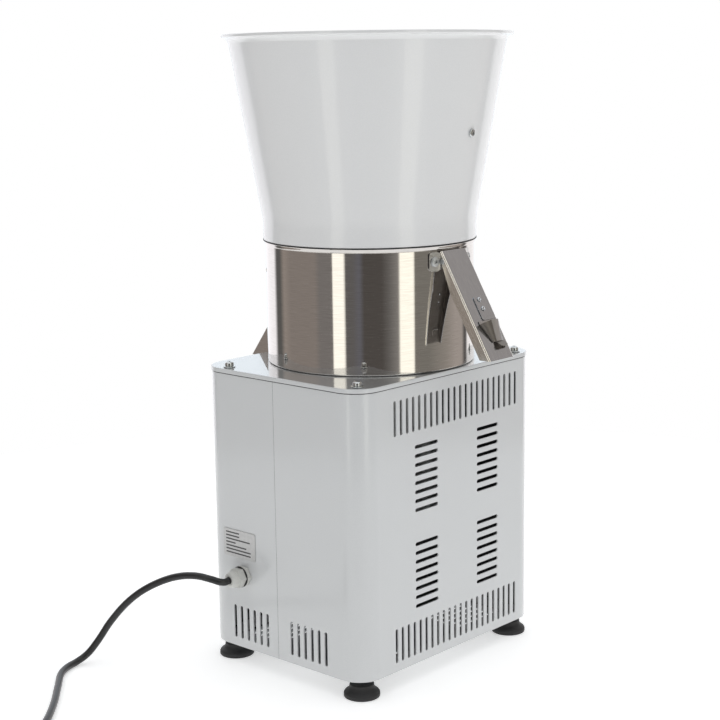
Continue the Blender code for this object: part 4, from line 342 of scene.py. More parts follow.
# Light of the studio, as the reflections in the drum show it: azimuths in degrees count from the camera's
FLOOR_RADIUS = 1.15
FLOOR_DEPTH = 0.01
FLOOR_GLOW = 0.46
SKY_COLOUR = (0.98, 0.99, 1, 1)
SKY_LOW = 1.12
SKY_SIDE = 0.37
SKY_LEFT_LOSS = 0.14
SKY_TOP = 1.15
SKY_TURN_DEG = 46
SKY_SOFT_DEG = 20
ROOM_STRENGTH = 1.6
ROOM = (
    (-166, -166, (0.66, 0.70, 0.74)), (-160, -131, (0.80, 0.79, 0.82)),
    (-124.5, -117, (0.085, 0.083, 0.08)), (-109, -109, (0.24, 0.21, 0.19)),
    (-98, -63, (0.195, 0.172, 0.158)), (-57, -42.2, (0.155, 0.145, 0.14)),
    (-40.8, -28.8, (1.0, 0.98, 0.90)), (-27, -19, (0.10, 0.096, 0.095)),
    (-12, -12, (0.105, 0.105, 0.12)), (-7, 12, (0.066, 0.060, 0.056)),
    (20, 20, (0.11, 0.105, 0.10)), (30.5, 30.5, (0.20, 0.19, 0.18)),
    (32, 47.5, (1.0, 0.98, 0.88)), (49, 66, (0.158, 0.150, 0.135)),
    (92, 92, (0.235, 0.215, 0.195)), (106, 119, (0.30, 0.27, 0.25)),
    (125, 129, (0.085, 0.080, 0.078)), (134, 160, (0.75, 0.74, 0.75)),
    (166, 180, (0.66, 0.70, 0.74)),
)

# Share of the noise that a finish's tones and roughness spread over, and the noise's detail
NOISE_SPAN = (0.35, 0.65)
NOISE_DETAIL = 4
MATERIALS = {}


def shift(x, y, z):
    """A move."""
    return Matrix.Translation((x, y, z))


def turn(degrees, axis="Z"):
    """A turn about an axis."""
    return Matrix.Rotation(math.radians(degrees), 4, axis)


# No move at all, and the turns that lay +Z along X and along Y
HERE = Matrix()
ALONG_X = turn(90, "Y")
ALONG_Y = turn(-90, "X")


def skin(bm, loops):
    """Bridges loops of equally many points into one closed skin with end faces."""
    rows = [[bm.verts.new(point) for point in loop] for loop in loops]
    count = len(rows[0])
    for lower, upper in zip(rows, rows[1:]):
        for i in range(count):
            j = (i + 1) % count
            bm.faces.new((lower[i], lower[j], upper[j], upper[i]))
    bm.faces.new(rows[0][::-1])
    bm.faces.new(rows[-1])


def prism(bm, outline, low, high, place=HERE):
    """An outline in X and Y, extruded from low to high along Z, then moved by a matrix."""
    skin(bm, [[place @ Vector((x, y, z)) for x, y in outline] for z in (low, high)])


def box(bm, low, high, place=HERE):
    """A block between two corners."""
    outline = [(low[0], low[1]), (high[0], low[1]), (high[0], high[1]), (low[0], high[1])]
    prism(bm, outline, low[2], high[2], place)


def slab(bm, half_width, half_depth, radius, low, high, place=HERE, segments=CORNER_SEGMENTS):
    """A rectangle with round corners, extruded along Z."""
    prism(bm, rounded_rectangle(half_width, half_depth, radius, segments), low, high, place)


def turned(bm, profile, segments, place=HERE):
    """Turns a closed profile of (radius, height) points about Z. Points on the axis make poles."""
    rings = []
    for radius, height in profile:
        angles = [math.tau * i / segments for i in range(segments if radius else 1)]
        points = [Vector((radius * math.cos(angle), radius * math.sin(angle), height)) for angle in angles]
        rings.append([bm.verts.new(place @ point) for point in points])
    for a, b in zip(rings, rings[1:] + rings[:1]):
        if len(a) + len(b) == 2:
            continue
        for i in range(segments):
            j = (i + 1) % segments
            corners = (a[i % len(a)], b[i % len(b)], b[j % len(b)], a[j % len(a)])
            bm.faces.new(tuple(dict.fromkeys(corners)))


def rod(bm, radius, low, high, place=HERE, segments=HOLE_SEGMENTS):
    """A plain round bar along Z."""
    turned(bm, [(0, low), (radius, low), (radius, high), (0, high)], segments, place)


def tube(bm, inner, outer, low, high, segments, place=HERE):
    """A plain ring about Z."""
    turned(bm, [(inner, low), (outer, low), (outer, high), (inner, high)], segments, place)


def arc(centre, radius, first_deg, last_deg, segments=CASE_CORNER_SEGMENTS):
    """Points on an arc, both ends included."""
    points = []
    for i in range(segments + 1):
        angle = math.radians(first_deg + (last_deg - first_deg) * i / segments)
        points.append((centre[0] + radius * math.cos(angle), centre[1] + radius * math.sin(angle)))
    return points


def rounded_rectangle(half_width, half_depth, radius, segments):
    """Points of a rectangle with round corners, anticlockwise from the corner at +X +Y."""
    points = []
    for quarter, (side_x, side_y) in enumerate(((1, 1), (-1, 1), (-1, -1), (1, -1))):
        centre = (side_x * (half_width - radius), side_y * (half_depth - radius))
        points += arc(centre, radius, 90 * quarter, 90 * (quarter + 1), segments)
    return points


def hexagon(radius):
    """Corners of a hexagon."""
    return arc((0, 0), radius, 0, 300, 5)


def case_outline(grow):
    """The casing's outline, grown on every side."""
    return rounded_rectangle(HALF_WIDTH + grow, HALF_DEPTH + grow, CASE_CORNER + grow, CASE_CORNER_SEGMENTS)


def scaled(shares, across, up, start=(0, 0)):
    """Points given as shares of a width and a height."""
    return [(start[0] + across * x, start[1] + up * y) for x, y in shares]


def curve_through(guide, steps):
    """Points on a smooth curve from the second guide point to the last but one."""
    fine = []
    for a, b, c, d in zip(guide, guide[1:], guide[2:], guide[3:]):
        for i in range(steps):
            t = i / steps
            point = (2 * b) + (c - a) * t + (2 * a - 5 * b + 4 * c - d) * t**2
            fine.append((point + (3 * b - a - 3 * c + d) * t**3) / 2)
    return fine + [guide[-2]]


def smooth_through(points, steps):
    """More points on a smooth curve through the given ones, in a plane."""
    guide = [Vector(point) for point in (points[0], *points, points[-1])]
    return [tuple(point) for point in curve_through(guide, steps)]


def adjust(thing, **settings):
    """Sets attributes of a thing, and gives it back."""
    for name, value in settings.items():
        setattr(thing, name, value)
    return thing


def add_object(name, data):
    """A new object in the scene."""
    obj = bpy.data.objects.new(name, data)
    bpy.context.scene.collection.objects.link(obj)
    return obj


def build(name, parts):
    """A mesh object from parts, each a function of this script and what it takes after the mesh."""
    bm = bmesh.new()
    for add, *settings in parts:
        add(bm, *settings)
    bmesh.ops.recalc_face_normals(bm, faces=bm.faces)
    mesh = bpy.data.meshes.new(name)
    bm.to_mesh(mesh)
    bm.free()
    return add_object(name, mesh)


def remove(helpers):
    """Deletes helpers that have done their work."""
    for obj in helpers:
        bpy.data.objects.remove(obj, do_unlink=True)


def make(
    name, finish, node, parts, cutters=(), joined=(), shared=(), edge=0, place=HERE, body="mill_body",
):
    """A piece with its place, finish, body and the node it stands for. Each cutter and each joined form is
    a list of parts. Shared cutters are objects, and stay."""
    piece = build(name, parts)
    helpers = [build("helper", other) for other in (*joined, *cutters)]
    for number, other in enumerate((*helpers, *shared)):
        operation = "UNION" if number < len(joined) else "DIFFERENCE"
        adjust(piece.modifiers.new("shape", "BOOLEAN"), operation=operation, solver="EXACT", object=other)
    if edge:
        angle = math.radians(SMOOTH_DEG)
        bevel = piece.modifiers.new("edges", "BEVEL")
        adjust(bevel, width=edge, segments=2, limit_method="ANGLE", angle_limit=angle)
    if piece.modifiers:
        mesh = bpy.data.meshes.new_from_object(piece.evaluated_get(bpy.context.evaluated_depsgraph_get()))
        piece.modifiers.clear()
        piece.data = mesh
    remove(helpers)
    piece.data.shade_smooth()
    piece.data.set_sharp_from_angle(angle=math.radians(SMOOTH_DEG))
    adjust(piece.modifiers.new("shading", "WEIGHTED_NORMAL"), keep_sharp=True, weight=100)
    piece.data.materials.clear()
    piece.data.materials.append(MATERIALS[finish])
    piece.matrix_world = Matrix.Translation(AXIS) @ place
    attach(piece, body)
    if node:
        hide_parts(node)
    return piece


def tint(piece, finish, chosen):
    """Gives the faces that pass a test another finish."""
    piece.data.materials.append(MATERIALS[finish])
    for face in piece.data.polygons:
        if chosen(face):
            face.material_index = len(piece.data.materials) - 1


def wire(tree, node, inputs):
    """Sets a shader node's inputs, or links them to other nodes' outputs."""
    for name, value in inputs.items():
        if isinstance(value, bpy.types.NodeSocket):
            tree.links.new(value, node.inputs[name])
        else:
            node.inputs[name].default_value = value
    return node


def add_node(tree, kind, inputs):
    """A new shader node with its inputs set or linked."""
    return wire(tree, tree.nodes.new("ShaderNode" + kind), inputs)


def spread(tree, value, first, last, low, high):
    """Maps a value from one range to another."""
    inputs = {"Value": value, "From Min": first, "From Max": last, "To Min": low, "To Max": high}
    return add_node(tree, "MapRange", inputs).outputs["Result"]


def surface(
    name, dark, light, roughness, scale, metallic=0, stretch=(1, 1, 1), relief=(0, 0), coat=(0, 0.05),
):
    """A material whose colour, roughness and relief follow one stretched noise. Relief is a strength and a
    depth, and coat a weight and a roughness."""
    made = adjust(bpy.data.materials.new(name), use_nodes=True)
    tree = made.node_tree
    where = tree.nodes.new("ShaderNodeTexCoord").outputs["Object"]
    place = add_node(tree, "Mapping", {"Vector": where, "Scale": stretch}).outputs["Vector"]
    noise = add_node(tree, "TexNoise", {"Vector": place, "Scale": scale, "Detail": NOISE_DETAIL})
    grain = noise.outputs["Fac"]
    ramp = add_node(tree, "ValToRGB", {"Fac": grain})
    for stop, position, tone in zip(ramp.color_ramp.elements, NOISE_SPAN, (dark, light)):
        adjust(stop, position=position, color=(*tone, 1))
    inputs = {
        "Base Color": ramp.outputs["Color"], "Roughness": spread(tree, grain, *NOISE_SPAN, *roughness),
        "Metallic": metallic, "Coat Weight": coat[0], "Coat Roughness": coat[1],
    }
    if relief[0]:
        bump = add_node(tree, "Bump", {"Strength": relief[0], "Distance": relief[1], "Height": grain})
        inputs["Normal"] = bump.outputs["Normal"]
    wire(tree, tree.nodes["Principled BSDF"], inputs)
    return made


def add_finish(name, slot, *settings, **more):
    """Adds a finish. Its slot is not used."""
    MATERIALS[name] = surface(name, *settings, **more)


def make_finishes():
    """Every finish: its slot, its two tones, its roughness and its noise's scale, then what else it has."""
    add_finish("paint", "white_paint", (0.710, 0.724, 0.728), (0.735, 0.747, 0.750), (0.30, 0.36), 900,
               relief=(0.03, 0.00003), coat=(0.8, 0.12))
    add_finish("hopper_paint", "white_paint", (0.842, 0.846, 0.844), (0.867, 0.870, 0.868), (0.30, 0.36), 900,
               relief=(0.03, 0.00003), coat=(0.7, 0.06))
    # Painted shade: a near-black finish for the casing's inside faces, so the vent slots look dark.
    add_finish("casing_inside_painted_shade", "white_paint", (0.035, 0.036, 0.037), (0.055, 0.056, 0.057), (0.5, 0.6), 900)
    # Painted shade: a darker, part metallic copy of the white paint for the cover's top.
    add_finish("cover_top_painted_shade", "white_paint", (0.66, 0.68, 0.69), (0.69, 0.705, 0.71), (0.025, 0.05), 900,
               0.66, coat=(0.65, 0.40))
    along = (22, 22, 1)
    slight = (0.03, 0.00002)
    steels = (
        ("bright_steel", (0.60, 0.575, 0.55), (0.68, 0.655, 0.63), (0.035, 0.07), 60, 1, (1, 1, 30),
         (0.02, 0.00002)),
        ("satin_steel", (0.56, 0.55, 0.535), (0.64, 0.63, 0.615), (0.26, 0.33), 90, 1, (1, 1, 25),
         (0.04, 0.00003)),
        ("drawn_steel", (0.50, 0.52, 0.55), (0.58, 0.60, 0.63), (0.15, 0.21), 90, 1, along, slight),
        ("sprung_steel", (0.52, 0.515, 0.505), (0.60, 0.59, 0.58), (0.30, 0.38), 90, 1, along, slight),
        # Painted reflection: a lighter, warm copy of the lever's steel for the outsides of its flanges.
        ("warm_steel", (0.70, 0.67, 0.61), (0.79, 0.76, 0.70), (0.18, 0.26), 90, 1, along, slight),
        # Painted highlight: a near-white steel for the lever's outer bends and the drum's stud.
        ("worn_edge", (0.92, 0.88, 0.83), (0.98, 0.95, 0.90), (0.16, 0.24), 90, 1, along),
        ("shaded_steel", (0.15, 0.135, 0.12), (0.21, 0.19, 0.17), (0.40, 0.50), 90, 0.8, along),
    )
    for name, *settings in steels:
        add_finish(name, "stainless", *settings)
    add_finish("zinc", "zinc", (0.50, 0.53, 0.54), (0.66, 0.67, 0.67), (0.06, 0.13), 700, 1)
    add_finish("dull_zinc", "zinc", (0.46, 0.48, 0.49), (0.58, 0.59, 0.59), (0.40, 0.55), 200, 1)
    add_finish("cast", "cast_aluminium", (0.50, 0.51, 0.52), (0.62, 0.63, 0.64), (0.45, 0.62), 900, 1,
               relief=(0.35, 0.0002))
    add_finish("laminations", "laminations", (0.13, 0.13, 0.14), (0.26, 0.26, 0.27), (0.45, 0.65), 25, 1,
               (1, 1, 60), (0.4, 0.0002))
    add_finish("machined", "tool_steel", (0.36, 0.36, 0.37), (0.48, 0.48, 0.49), (0.20, 0.34), 120, 1,
               (1, 1, 12), (0.05, 0.00005))
    add_finish("rubber", "black_rubber", (0.014, 0.014, 0.015), (0.026, 0.026, 0.027), (0.52, 0.66), 1200,
               relief=(0.15, 0.00008))
    add_finish("cord_rubber", "black_rubber", (0.010, 0.010, 0.011), (0.018, 0.018, 0.019), (0.28, 0.38), 500,
               relief=(0.06, 0.00005))
    add_finish("nylon", "grey_plastic", (0.63, 0.63, 0.595), (0.69, 0.69, 0.655), (0.30, 0.40), 600,
               relief=(0.06, 0.00005))
    add_finish("black_plastic", "black_plastic", (0.018, 0.018, 0.019), (0.032, 0.032, 0.033), (0.36, 0.48),
               1500, relief=(0.12, 0.00005))
    add_finish("red_plastic", "red_plastic", (0.45, 0.020, 0.012), (0.56, 0.030, 0.018), (0.26, 0.34), 700,
               relief=(0.04, 0.00003), coat=(0.3, 0.05))
    add_finish("mark_white", "black_plastic", (0.72, 0.72, 0.70), (0.80, 0.80, 0.78), (0.40, 0.50), 900)
    add_finish("can", "capacitor_white", (0.68, 0.68, 0.66), (0.76, 0.76, 0.74), (0.42, 0.52), 300,
               relief=(0.05, 0.0001))
    add_finish("silver_plate", "plate_silver", (0.60, 0.60, 0.595), (0.67, 0.67, 0.665), (0.34, 0.46), 300,
               0.45, (1, 1, 20))
    add_finish("plate_ink", "plate_silver", (0.05, 0.05, 0.05), (0.10, 0.10, 0.10), (0.50, 0.60), 600)


def make_camera():
    """The camera of the photograph."""
    data = adjust(bpy.data.cameras.new("camera"), lens=CAMERA_LENS_MM, sensor_width=CAMERA_SENSOR_MM)
    camera = add_object("camera", data)
    axes = Matrix((CAMERA_RIGHT, CAMERA_UP, CAMERA_BACK)).transposed()
    camera.matrix_world = Matrix.Translation(Vector(CAMERA_PLACE) + AXIS) @ axes.to_4x4()
    bpy.context.scene.camera = camera


def smooth_route(points):
    """Evenly spaced points on a smooth curve through the given ones, between two straight end pieces."""
    fine = curve_through(points, CURVE_STEPS)
    total = sum((q - p).length for p, q in zip(fine, fine[1:]))
    count = max(2, round(total / CORD_SPACING))
    target = total / count
    even = [fine[0]]
    walked = 0
    for p, q in zip(fine, fine[1:]):
        step = (q - p).length
        while walked + step >= target * len(even) and len(even) < count:
            even.append(p.lerp(q, (target * len(even) - walked) / step))
        walked += step
    return [points[0]] + even + [fine[-1], points[-1]]


def coil_points():
    """A coil in two layers: the turns spiral in on the floor, climb a layer and spiral out again."""
    centre = CORD_ORIGIN + Vector((*COIL_CENTRE, 0))
    start_radius = COIL_MIDDLE_RADIUS + COIL_PITCH * COIL_TURNS / 4
    floor_z = CORD_DIAMETER / 2 + GAP
    points = []
    for i in range(COIL_TURNS * COIL_POINTS + 1):
        turns = i / COIL_POINTS
        from_middle = turns - COIL_TURNS / 2
        radius = start_radius - COIL_PITCH * (COIL_TURNS / 2 - abs(from_middle))
        share = min(max(from_middle * 2 + 0.5, 0), 1)
        climb = share * share * (3 - 2 * share)
        angle = math.radians(COIL_START_DEG) + math.tau * turns
        offset = Vector((radius * math.cos(angle), radius * math.sin(angle), floor_z + COIL_PITCH * climb))
        points.append(centre + offset)
    lead_in = (points[0] - points[1]).normalized() * CORD_DIAMETER
    slope = (PLUG_RADIUS - points[-1].z) / (PLUG_RELIEF + PLUG_BODY)
    lead_out = ((points[-1] - points[-2]).normalized() + Vector((0, 0, slope))).normalized()
    return [points[0] + lead_in] + points + [points[-1] + lead_out * CORD_DIAMETER], lead_out


def make_cord():
    """The mains cord in one piece, from the gland over the floor into its coil, and its plug."""
    turns, lead_out = coil_points()
    approach = turns[0] + (turns[0] - turns[1]).normalized() * CORD_DIAMETER
    run = smooth_route([CORD_ORIGIN + Vector(point) for point in CORD_ROUTE] + [approach, turns[0]])
    points = run + turns[1:]
    curve = adjust(
        bpy.data.curves.new("mains_cord", "CURVE"), dimensions="3D", bevel_depth=CORD_DIAMETER / 2,
        bevel_resolution=6, resolution_u=4, use_fill_caps=True,
    )
    spline = curve.splines.new("BEZIER")
    spline.bezier_points.add(len(points) - 1)
    for knot, point in zip(spline.bezier_points, points):
        adjust(knot, co=point, handle_left_type="AUTO", handle_right_type="AUTO")
    cord = adjust(add_object("mains_cord", curve), location=AXIS)
    curve.materials.append(MATERIALS["cord_rubber"])
    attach(cord, "mill_body")
    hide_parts("power_cord", "cord_coil")
    plug = make_plug(turns[-1] + lead_out * GAP, lead_out)


def make_plug(start, direction):
    """A moulded round plug with a ribbed relief and two pins."""
    relief_end = PLUG_RELIEF * 0.9
    rib = relief_end / PLUG_RIBS
    profile = [(0, 0)]
    for i in range(PLUG_RIBS):
        radius = PLUG_REAR_RADIUS * (0.80 + 0.20 * i / PLUG_RIBS)
        profile += scaled(PLUG_RIB_SHARES, radius, rib, (0, rib * i))
    face_z = PLUG_RELIEF + PLUG_BODY
    neck = [
        (PLUG_REAR_RADIUS, relief_end),
        (PLUG_RADIUS * 0.72, PLUG_RELIEF + PLUG_BODY * 0.25),
        (PLUG_RADIUS * 0.94, PLUG_RELIEF + PLUG_BODY * 0.55),
        (PLUG_RADIUS * 0.97, face_z - 2 * PLUG_ROUND),
    ]
    crown = arc((PLUG_RADIUS * 0.97 - PLUG_ROUND, face_z - PLUG_ROUND), PLUG_ROUND, 0, 90, 4)
    profile += smooth_through(neck, 6) + crown + [(0, face_z)]
    end_z = face_z + PLUG_PIN_LENGTH
    pin = [(0, face_z - OVER), (PLUG_PIN_RADIUS, face_z - OVER)]
    pin += arc((PLUG_PIN_RADIUS - PLUG_PIN_ROUND, end_z - PLUG_PIN_ROUND), PLUG_PIN_ROUND, 0, 90, 4)
    pin.append((0, end_z))
    pins = [(turned, pin, HOLE_SEGMENTS, shift(side * PLUG_PIN_SPACING / 2, 0, 0)) for side in (-1, 1)]
    place = Matrix.Translation(start) @ direction.to_track_quat("Z", "Y").to_matrix().to_4x4()
    plug = make("mains_plug", "black_plastic", "plug", [(turned, profile, FOOT_SEGMENTS)], place=place)
    make("plug_pins", "zinc", None, pins, place=place)
    return plug


def vent_slots(side):
    """All slots of one shell: its side wall's and its half of the back wall's."""
    middle = (SLOT_LENGTH - SLOT_WIDTH) / 2
    upright = arc((0, middle), SLOT_WIDTH / 2, 0, 180, SLOT_END_SEGMENTS)
    upright += [(-x, -y) for x, y in upright]
    lying = [(y, x) for x, y in reversed(upright)]
    low_z = CASE_LOW_Z + LOW_ROW_FROM_EDGE
    row = [VENT_CENTRE_Y + (i - (ROW_COUNT - 1) / 2) * SLOT_PITCH for i in range(ROW_COUNT)]
    slots = [(y, low_z, upright) for y in row]
    if side < 0:
        slots += [(y, CASE_TOP_Z - ROW_FROM_EDGE, upright) for y in row]
        for i in range(BLOCK_COUNT):
            upper = CASE_TOP_Z - UPPER_BLOCK_FROM_EDGE - i * SLOT_PITCH
            lower = CASE_LOW_Z + LOWER_BLOCK_FROM_EDGE + i * SLOT_PITCH
            for end in (-1, 1):
                slots += [(VENT_CENTRE_Y + end * BLOCK_SPREAD / 2, z, lying) for z in (upper, lower)]
    parts = []
    walls = [side * (HALF_WIDTH + out) for out in (-CASE_SHEET - OVER, OVER)]
    for y, z, slot in slots:
        parts.append((skin, [[(x, y + across, z + up) for across, up in slot] for x in walls]))
    walls = [HALF_DEPTH + out for out in (-CASE_SHEET - OVER, OVER)]
    upright.reverse()
    for i in range(BACK_COUNT):
        x = BACK_MIDDLE_X + side * BACK_SPREAD / 2
        x += (i - (BACK_COUNT - 1) / 2) * BACK_PITCH
        parts.append((skin, [[(x + across, y, low_z + up) for across, up in upright] for y in walls]))
    return parts


def shell_row(side, inset, z):
    """Half of the casing's outline, drawn in by an inset, from the back seam round to the front seam."""
    half_width = HALF_WIDTH - inset
    half_depth = HALF_DEPTH - inset
    radius = CASE_CORNER - inset
    seam = SEAM_X + side * GAP / 2
    corners = arc((half_width - radius, half_depth - radius), radius, 90, 0)
    corners += arc((half_width - radius, radius - half_depth), radius, 0, -90)
    return [(seam, half_depth, z)] + [(side * x, y, z) for x, y in corners] + [(seam, -half_depth, z)]


def make_shell(name, side, *holes):
    """One bent shell of the casing with its rolled-in flanges, its inside faces painted near-black as shade.
    """
    sheet = CASE_SHEET
    section = [
        (0, CASE_LOW_Z), (0, CASE_TOP_Z - RIM_GROOVE), (RIM_GROOVE, CASE_TOP_Z - RIM_GROOVE),
        (RIM_GROOVE, CASE_TOP_Z), (CASE_FLANGE, CASE_TOP_Z), (CASE_FLANGE, CASE_TOP_Z - sheet),
        (sheet, CASE_TOP_Z - sheet), (sheet, FLANGE_Z + sheet), (CASE_FLANGE, FLANGE_Z + sheet),
        (CASE_FLANGE, FLANGE_Z), (sheet, FLANGE_Z), (sheet, CASE_LOW_Z),
    ]
    loops = list(zip(*[shell_row(side, inset, z) for inset, z in section]))
    shell = make(
        name, "paint", "casing_" + name, [(skin, loops)], [vent_slots(side)], shared=holes, edge=SHEET_EDGE)

    def within(face):
        x, y = face.center.xy
        inward = x * face.normal.x + y * face.normal.y < 0
        return inward and abs(x) < HALF_WIDTH - sheet * 0.7 and abs(y) < HALF_DEPTH - sheet * 0.7

    # Painted shade: the faces inside the casing take the near-black finish.
    tint(shell, "casing_inside_painted_shade", within)


def node_middle(node):
    """Middle of a node's box in the drum's frame."""
    low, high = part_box(node)
    return (low + high) / 2 - AXIS


def holes_at(nodes, count, radius, low, high):
    """Upright holes at the places of a row of CAD nodes."""
    middles = [node_middle(f"{nodes}_{number}") for number in range(1, count + 1)]
    return [(rod, radius, low, high, shift(middle.x, middle.y, 0)) for middle in middles]


def make_casing():
    """Both shells, the cover and its screws, the feet."""
    seats = holes_at("cover_screw", 4, SCREW_HOLE_RADIUS, CASE_TOP_Z - HOLE_REACH, COVER_TOP_Z + OVER)
    screw_holes = build("screw_holes", seats)
    seats = holes_at("foot_stud", 4, STUD_HOLE_RADIUS, CASE_LOW_Z - OVER, FLANGE_Z + HOLE_REACH)
    stud_holes = build("stud_holes", seats)
    make_shell("left_shell", -1, screw_holes, stud_holes)
    outward = shift(GLAND_X, HALF_DEPTH, GLAND_Z) @ ALONG_Y
    switch = node_middle("switch_housing")
    half_x = SWITCH_HALF_WIDTH + GAP
    half_z = SWITCH_HALF_HEIGHT + GAP
    low = (switch.x - half_x, -HALF_DEPTH - OVER, switch.z - half_z)
    high = (switch.x + half_x, CASE_SHEET + OVER - HALF_DEPTH, switch.z + half_z)
    gland_hole = (rod, SHANK_RADIUS + GAP, -CASE_SHEET - OVER, OVER, outward, GLAND_SEGMENTS)
    fittings = build("fitting_holes", [gland_hole, (box, low, high)])
    make_shell("right_shell", 1, screw_holes, stud_holes, fittings)
    make_cover(screw_holes)
    remove([screw_holes, stud_holes, fittings])
    for number in range(1, 5):
        make_foot(number)


def make_cover(screw_holes):
    """The pressed cover with its rounded rim and shade painted on its top, the gasket's edge below it, dark
    also as painted gap shadow, and the cover's screws.
    """
    section = [(COVER_SHEET, COVER_TOP_Z - COVER_SHEET), (COVER_SHEET, COVER_RIM_Z), (0, COVER_RIM_Z)]
    section += arc((COVER_EDGE, COVER_TOP_Z - COVER_EDGE), COVER_EDGE, 180, 90, COVER_EDGE_SEGMENTS)
    loops = [[(x, y, z) for x, y in case_outline(COVER_OVERHANG - inset)] for inset, z in section]
    low = COVER_RIM_Z - OVER
    high = COVER_TOP_Z + OVER
    holes = [(rod, COVER_BORE_RADIUS, low, high, HERE, FOOT_SEGMENTS)]
    holes += holes_at("mount_bolt", 3, BOLT_HOLE_RADIUS, low, high)
    cover = make("pressed_cover", "cover_top_painted_shade", "top_cover", [(skin, loops)], [holes], shared=[screw_holes])
    # Painted shade: the cover's top keeps the darker copy; its steep rim faces get the casing's paint.
    tint(cover, "paint", lambda face: abs(face.normal.z) < COVER_RIM_SLOPE)
    # A black rubber ring for the gasket's edge, in a groove under the rim; it is also painted shadow of the
    # gap under the cover's rim.
    rings = []
    for inset, over in ((RIM_GROOVE * 0.4, 0), (RIM_GROOVE * 3, OVER)):
        low = CASE_TOP_Z - RIM_GROOVE + GAP / 4 - over
        rings.append([(prism, case_outline(-inset), low, COVER_RIM_Z - GAP / 4 + over)])
    make("gasket_and_gap_shadow", "rubber", None, rings[0], [rings[1]])
    for number in range(1, 5):
        low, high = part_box(f"cover_screw_{number}")
        seat = Vector(((low.x + high.x) / 2 - AXIS_X, (low.y + high.y) / 2, COVER_TOP_Z + GAP))
        make_screw(
            "cover", number, Matrix.Translation(seat), shank=0.0025, length=seat.z - low.z, head=0.0050,
            height=0.0052, spin_deg=37 * number, washer=0.0068,
        )


def make_screw(
    kind, number, place, shank, length, head, height, spin_deg, washer=0, finish="zinc", body="mill_body",
):
    """A screw with a domed head, a cross recess, a thread and, if asked, a dished washer."""
    base = WASHER_HEIGHT if washer else 0
    profile = [(0, -length)]
    pitch = shank * 0.4
    for i in range(int((length - shank) / pitch)):
        profile += scaled(((0.84, 0.1), (1, 0.5), (0.84, 0.9)), shank, pitch, (0, pitch * i - length))
    profile += [(shank, -shank * 0.5), (shank, 0)]
    if washer:
        profile += scaled(((0.97, 0), (1, 0.25), (1, 0.60), (0.95, 0.85)), washer, base)
        profile.append((head * 1.06, base))
    profile += scaled(((0.96, 0), (1, 0.12), (1, 0.45)), head, height, (0, base))
    for i in range(1, 8):
        angle = math.radians(90) * i / 8
        profile.append((head * math.cos(angle) ** 0.75, base + height * (0.45 + 0.55 * math.sin(angle))))
    profile.append((0, base + height))
    ends = scaled(((1, -1), (1, 1), (-1, 1), (-1, -1)), head * 0.62, head * 0.13)
    levels = ((scaled(ends, 0.35, 0.7), height * 0.25), (ends, height + OVER))
    recesses = []
    for degrees in (0, 90):
        loops = [[turn(degrees) @ Vector((x, y, base + z)) for x, y in ring] for ring, z in levels]
        recesses.append([(skin, loops)])
    make(
        f"{kind}_fastener_{number}", finish, f"{kind}_screw_{number}", [(turned, profile, SCREW_SEGMENTS)],
        recesses, place=place @ turn(spin_deg), body=body,
    )


def make_foot(number):
    """A flared rubber foot with the socket of its threaded stud."""
    middle = node_middle(f"foot_pad_{number}")
    socket = STUD_RADIUS + GAP
    waist = [
        (FOOT_RADIUS, FOOT_ROUND * 3), (FOOT_RADIUS * 0.94, FOOT_FLARE_Z), (FOOT_NECK * 1.08, FOOT_WAIST_Z),
        (FOOT_NECK, FOOT_HEIGHT - FOOT_NECK_LENGTH),
    ]
    profile = [(0, FOOT_HOLLOW), (FOOT_RADIUS * 0.80, FOOT_HOLLOW), (FOOT_RADIUS * 0.84, 0)]
    profile += arc((FOOT_RADIUS - FOOT_ROUND, FOOT_ROUND), FOOT_ROUND, -90, 0, 5)
    profile += smooth_through(waist, 6)
    profile += arc((FOOT_NECK - FOOT_TOP_ROUND, FOOT_HEIGHT - FOOT_TOP_ROUND), FOOT_TOP_ROUND, 0, 90, 5)
    profile += [(socket, FOOT_HEIGHT), (socket, FOOT_SOCKET_Z), (0, FOOT_SOCKET_Z)]
    foot = [(turned, profile, FOOT_SEGMENTS)]
    place = shift(middle.x, middle.y, 0)
    make(f"rubber_foot_{number}", "rubber", f"foot_pad_{number}", foot, place=place)


def make_drum():
    """The stainless drum with its rolled lip and its outlet window, and the stud in its side."""
    inner = DRUM_RADIUS - DRUM_WALL
    flange = DRUM_RADIUS - DRUM_FLANGE
    lip = (DRUM_RADIUS, DRUM_TOP_Z - DRUM_LIP_HEIGHT)
    middle = (DRUM_RADIUS - DRUM_FOOT_ROUND, DRUM_LOW_Z + DRUM_FOOT_ROUND)
    profile = [(flange, DRUM_LOW_Z)] + arc(middle, DRUM_FOOT_ROUND, -90, 0, 5)
    profile += smooth_through(scaled(LIP_SHARES, DRUM_LIP_STEP, DRUM_LIP_HEIGHT, lip), 4)
    profile += [(inner, DRUM_TOP_Z), (inner, DRUM_LOW_Z + DRUM_WALL), (flange, DRUM_LOW_Z + DRUM_WALL)]
    half = HOOD_HALF - HOOD_SHEET - WINDOW_MARGIN
    low = (DRUM_RADIUS * 0.8, -half, DRUM_LOW_Z + FLOOR_SHEET_TOP + GAP)
    cuts = [(box, low, (DRUM_RADIUS + OVER, half, low[2] + WINDOW_HEIGHT))]
    hole = (rod, BRACKET_HOLE_RADIUS, -DRUM_HOLE_DEPTH, OVER)
    cuts += [(*hole, bracket_screw_seat(number)) for number in (1, 2)]
    spot = turn(SPOT_DEG) @ shift(DRUM_RADIUS, 0, SPOT_Z) @ ALONG_X
    cuts.append((rod, SPOT_RADIUS, -SPOT_RADIUS / 2, OVER, spot))
    make("steel_drum", "bright_steel", "drum_shell", [(turned, profile, ROUND_SEGMENTS)], [cuts])
    small = SPOT_RADIUS / 2
    profile = scaled(((0, -1), (1, -1), (1, 0), (0.7, 0.4), (0, 0.6)), small, small)
    # Painted highlight: the stud takes near-white steel, a glint.
    make("drum_stud", "worn_edge", None, [(turned, profile, HOLE_SEGMENTS)], place=spot)


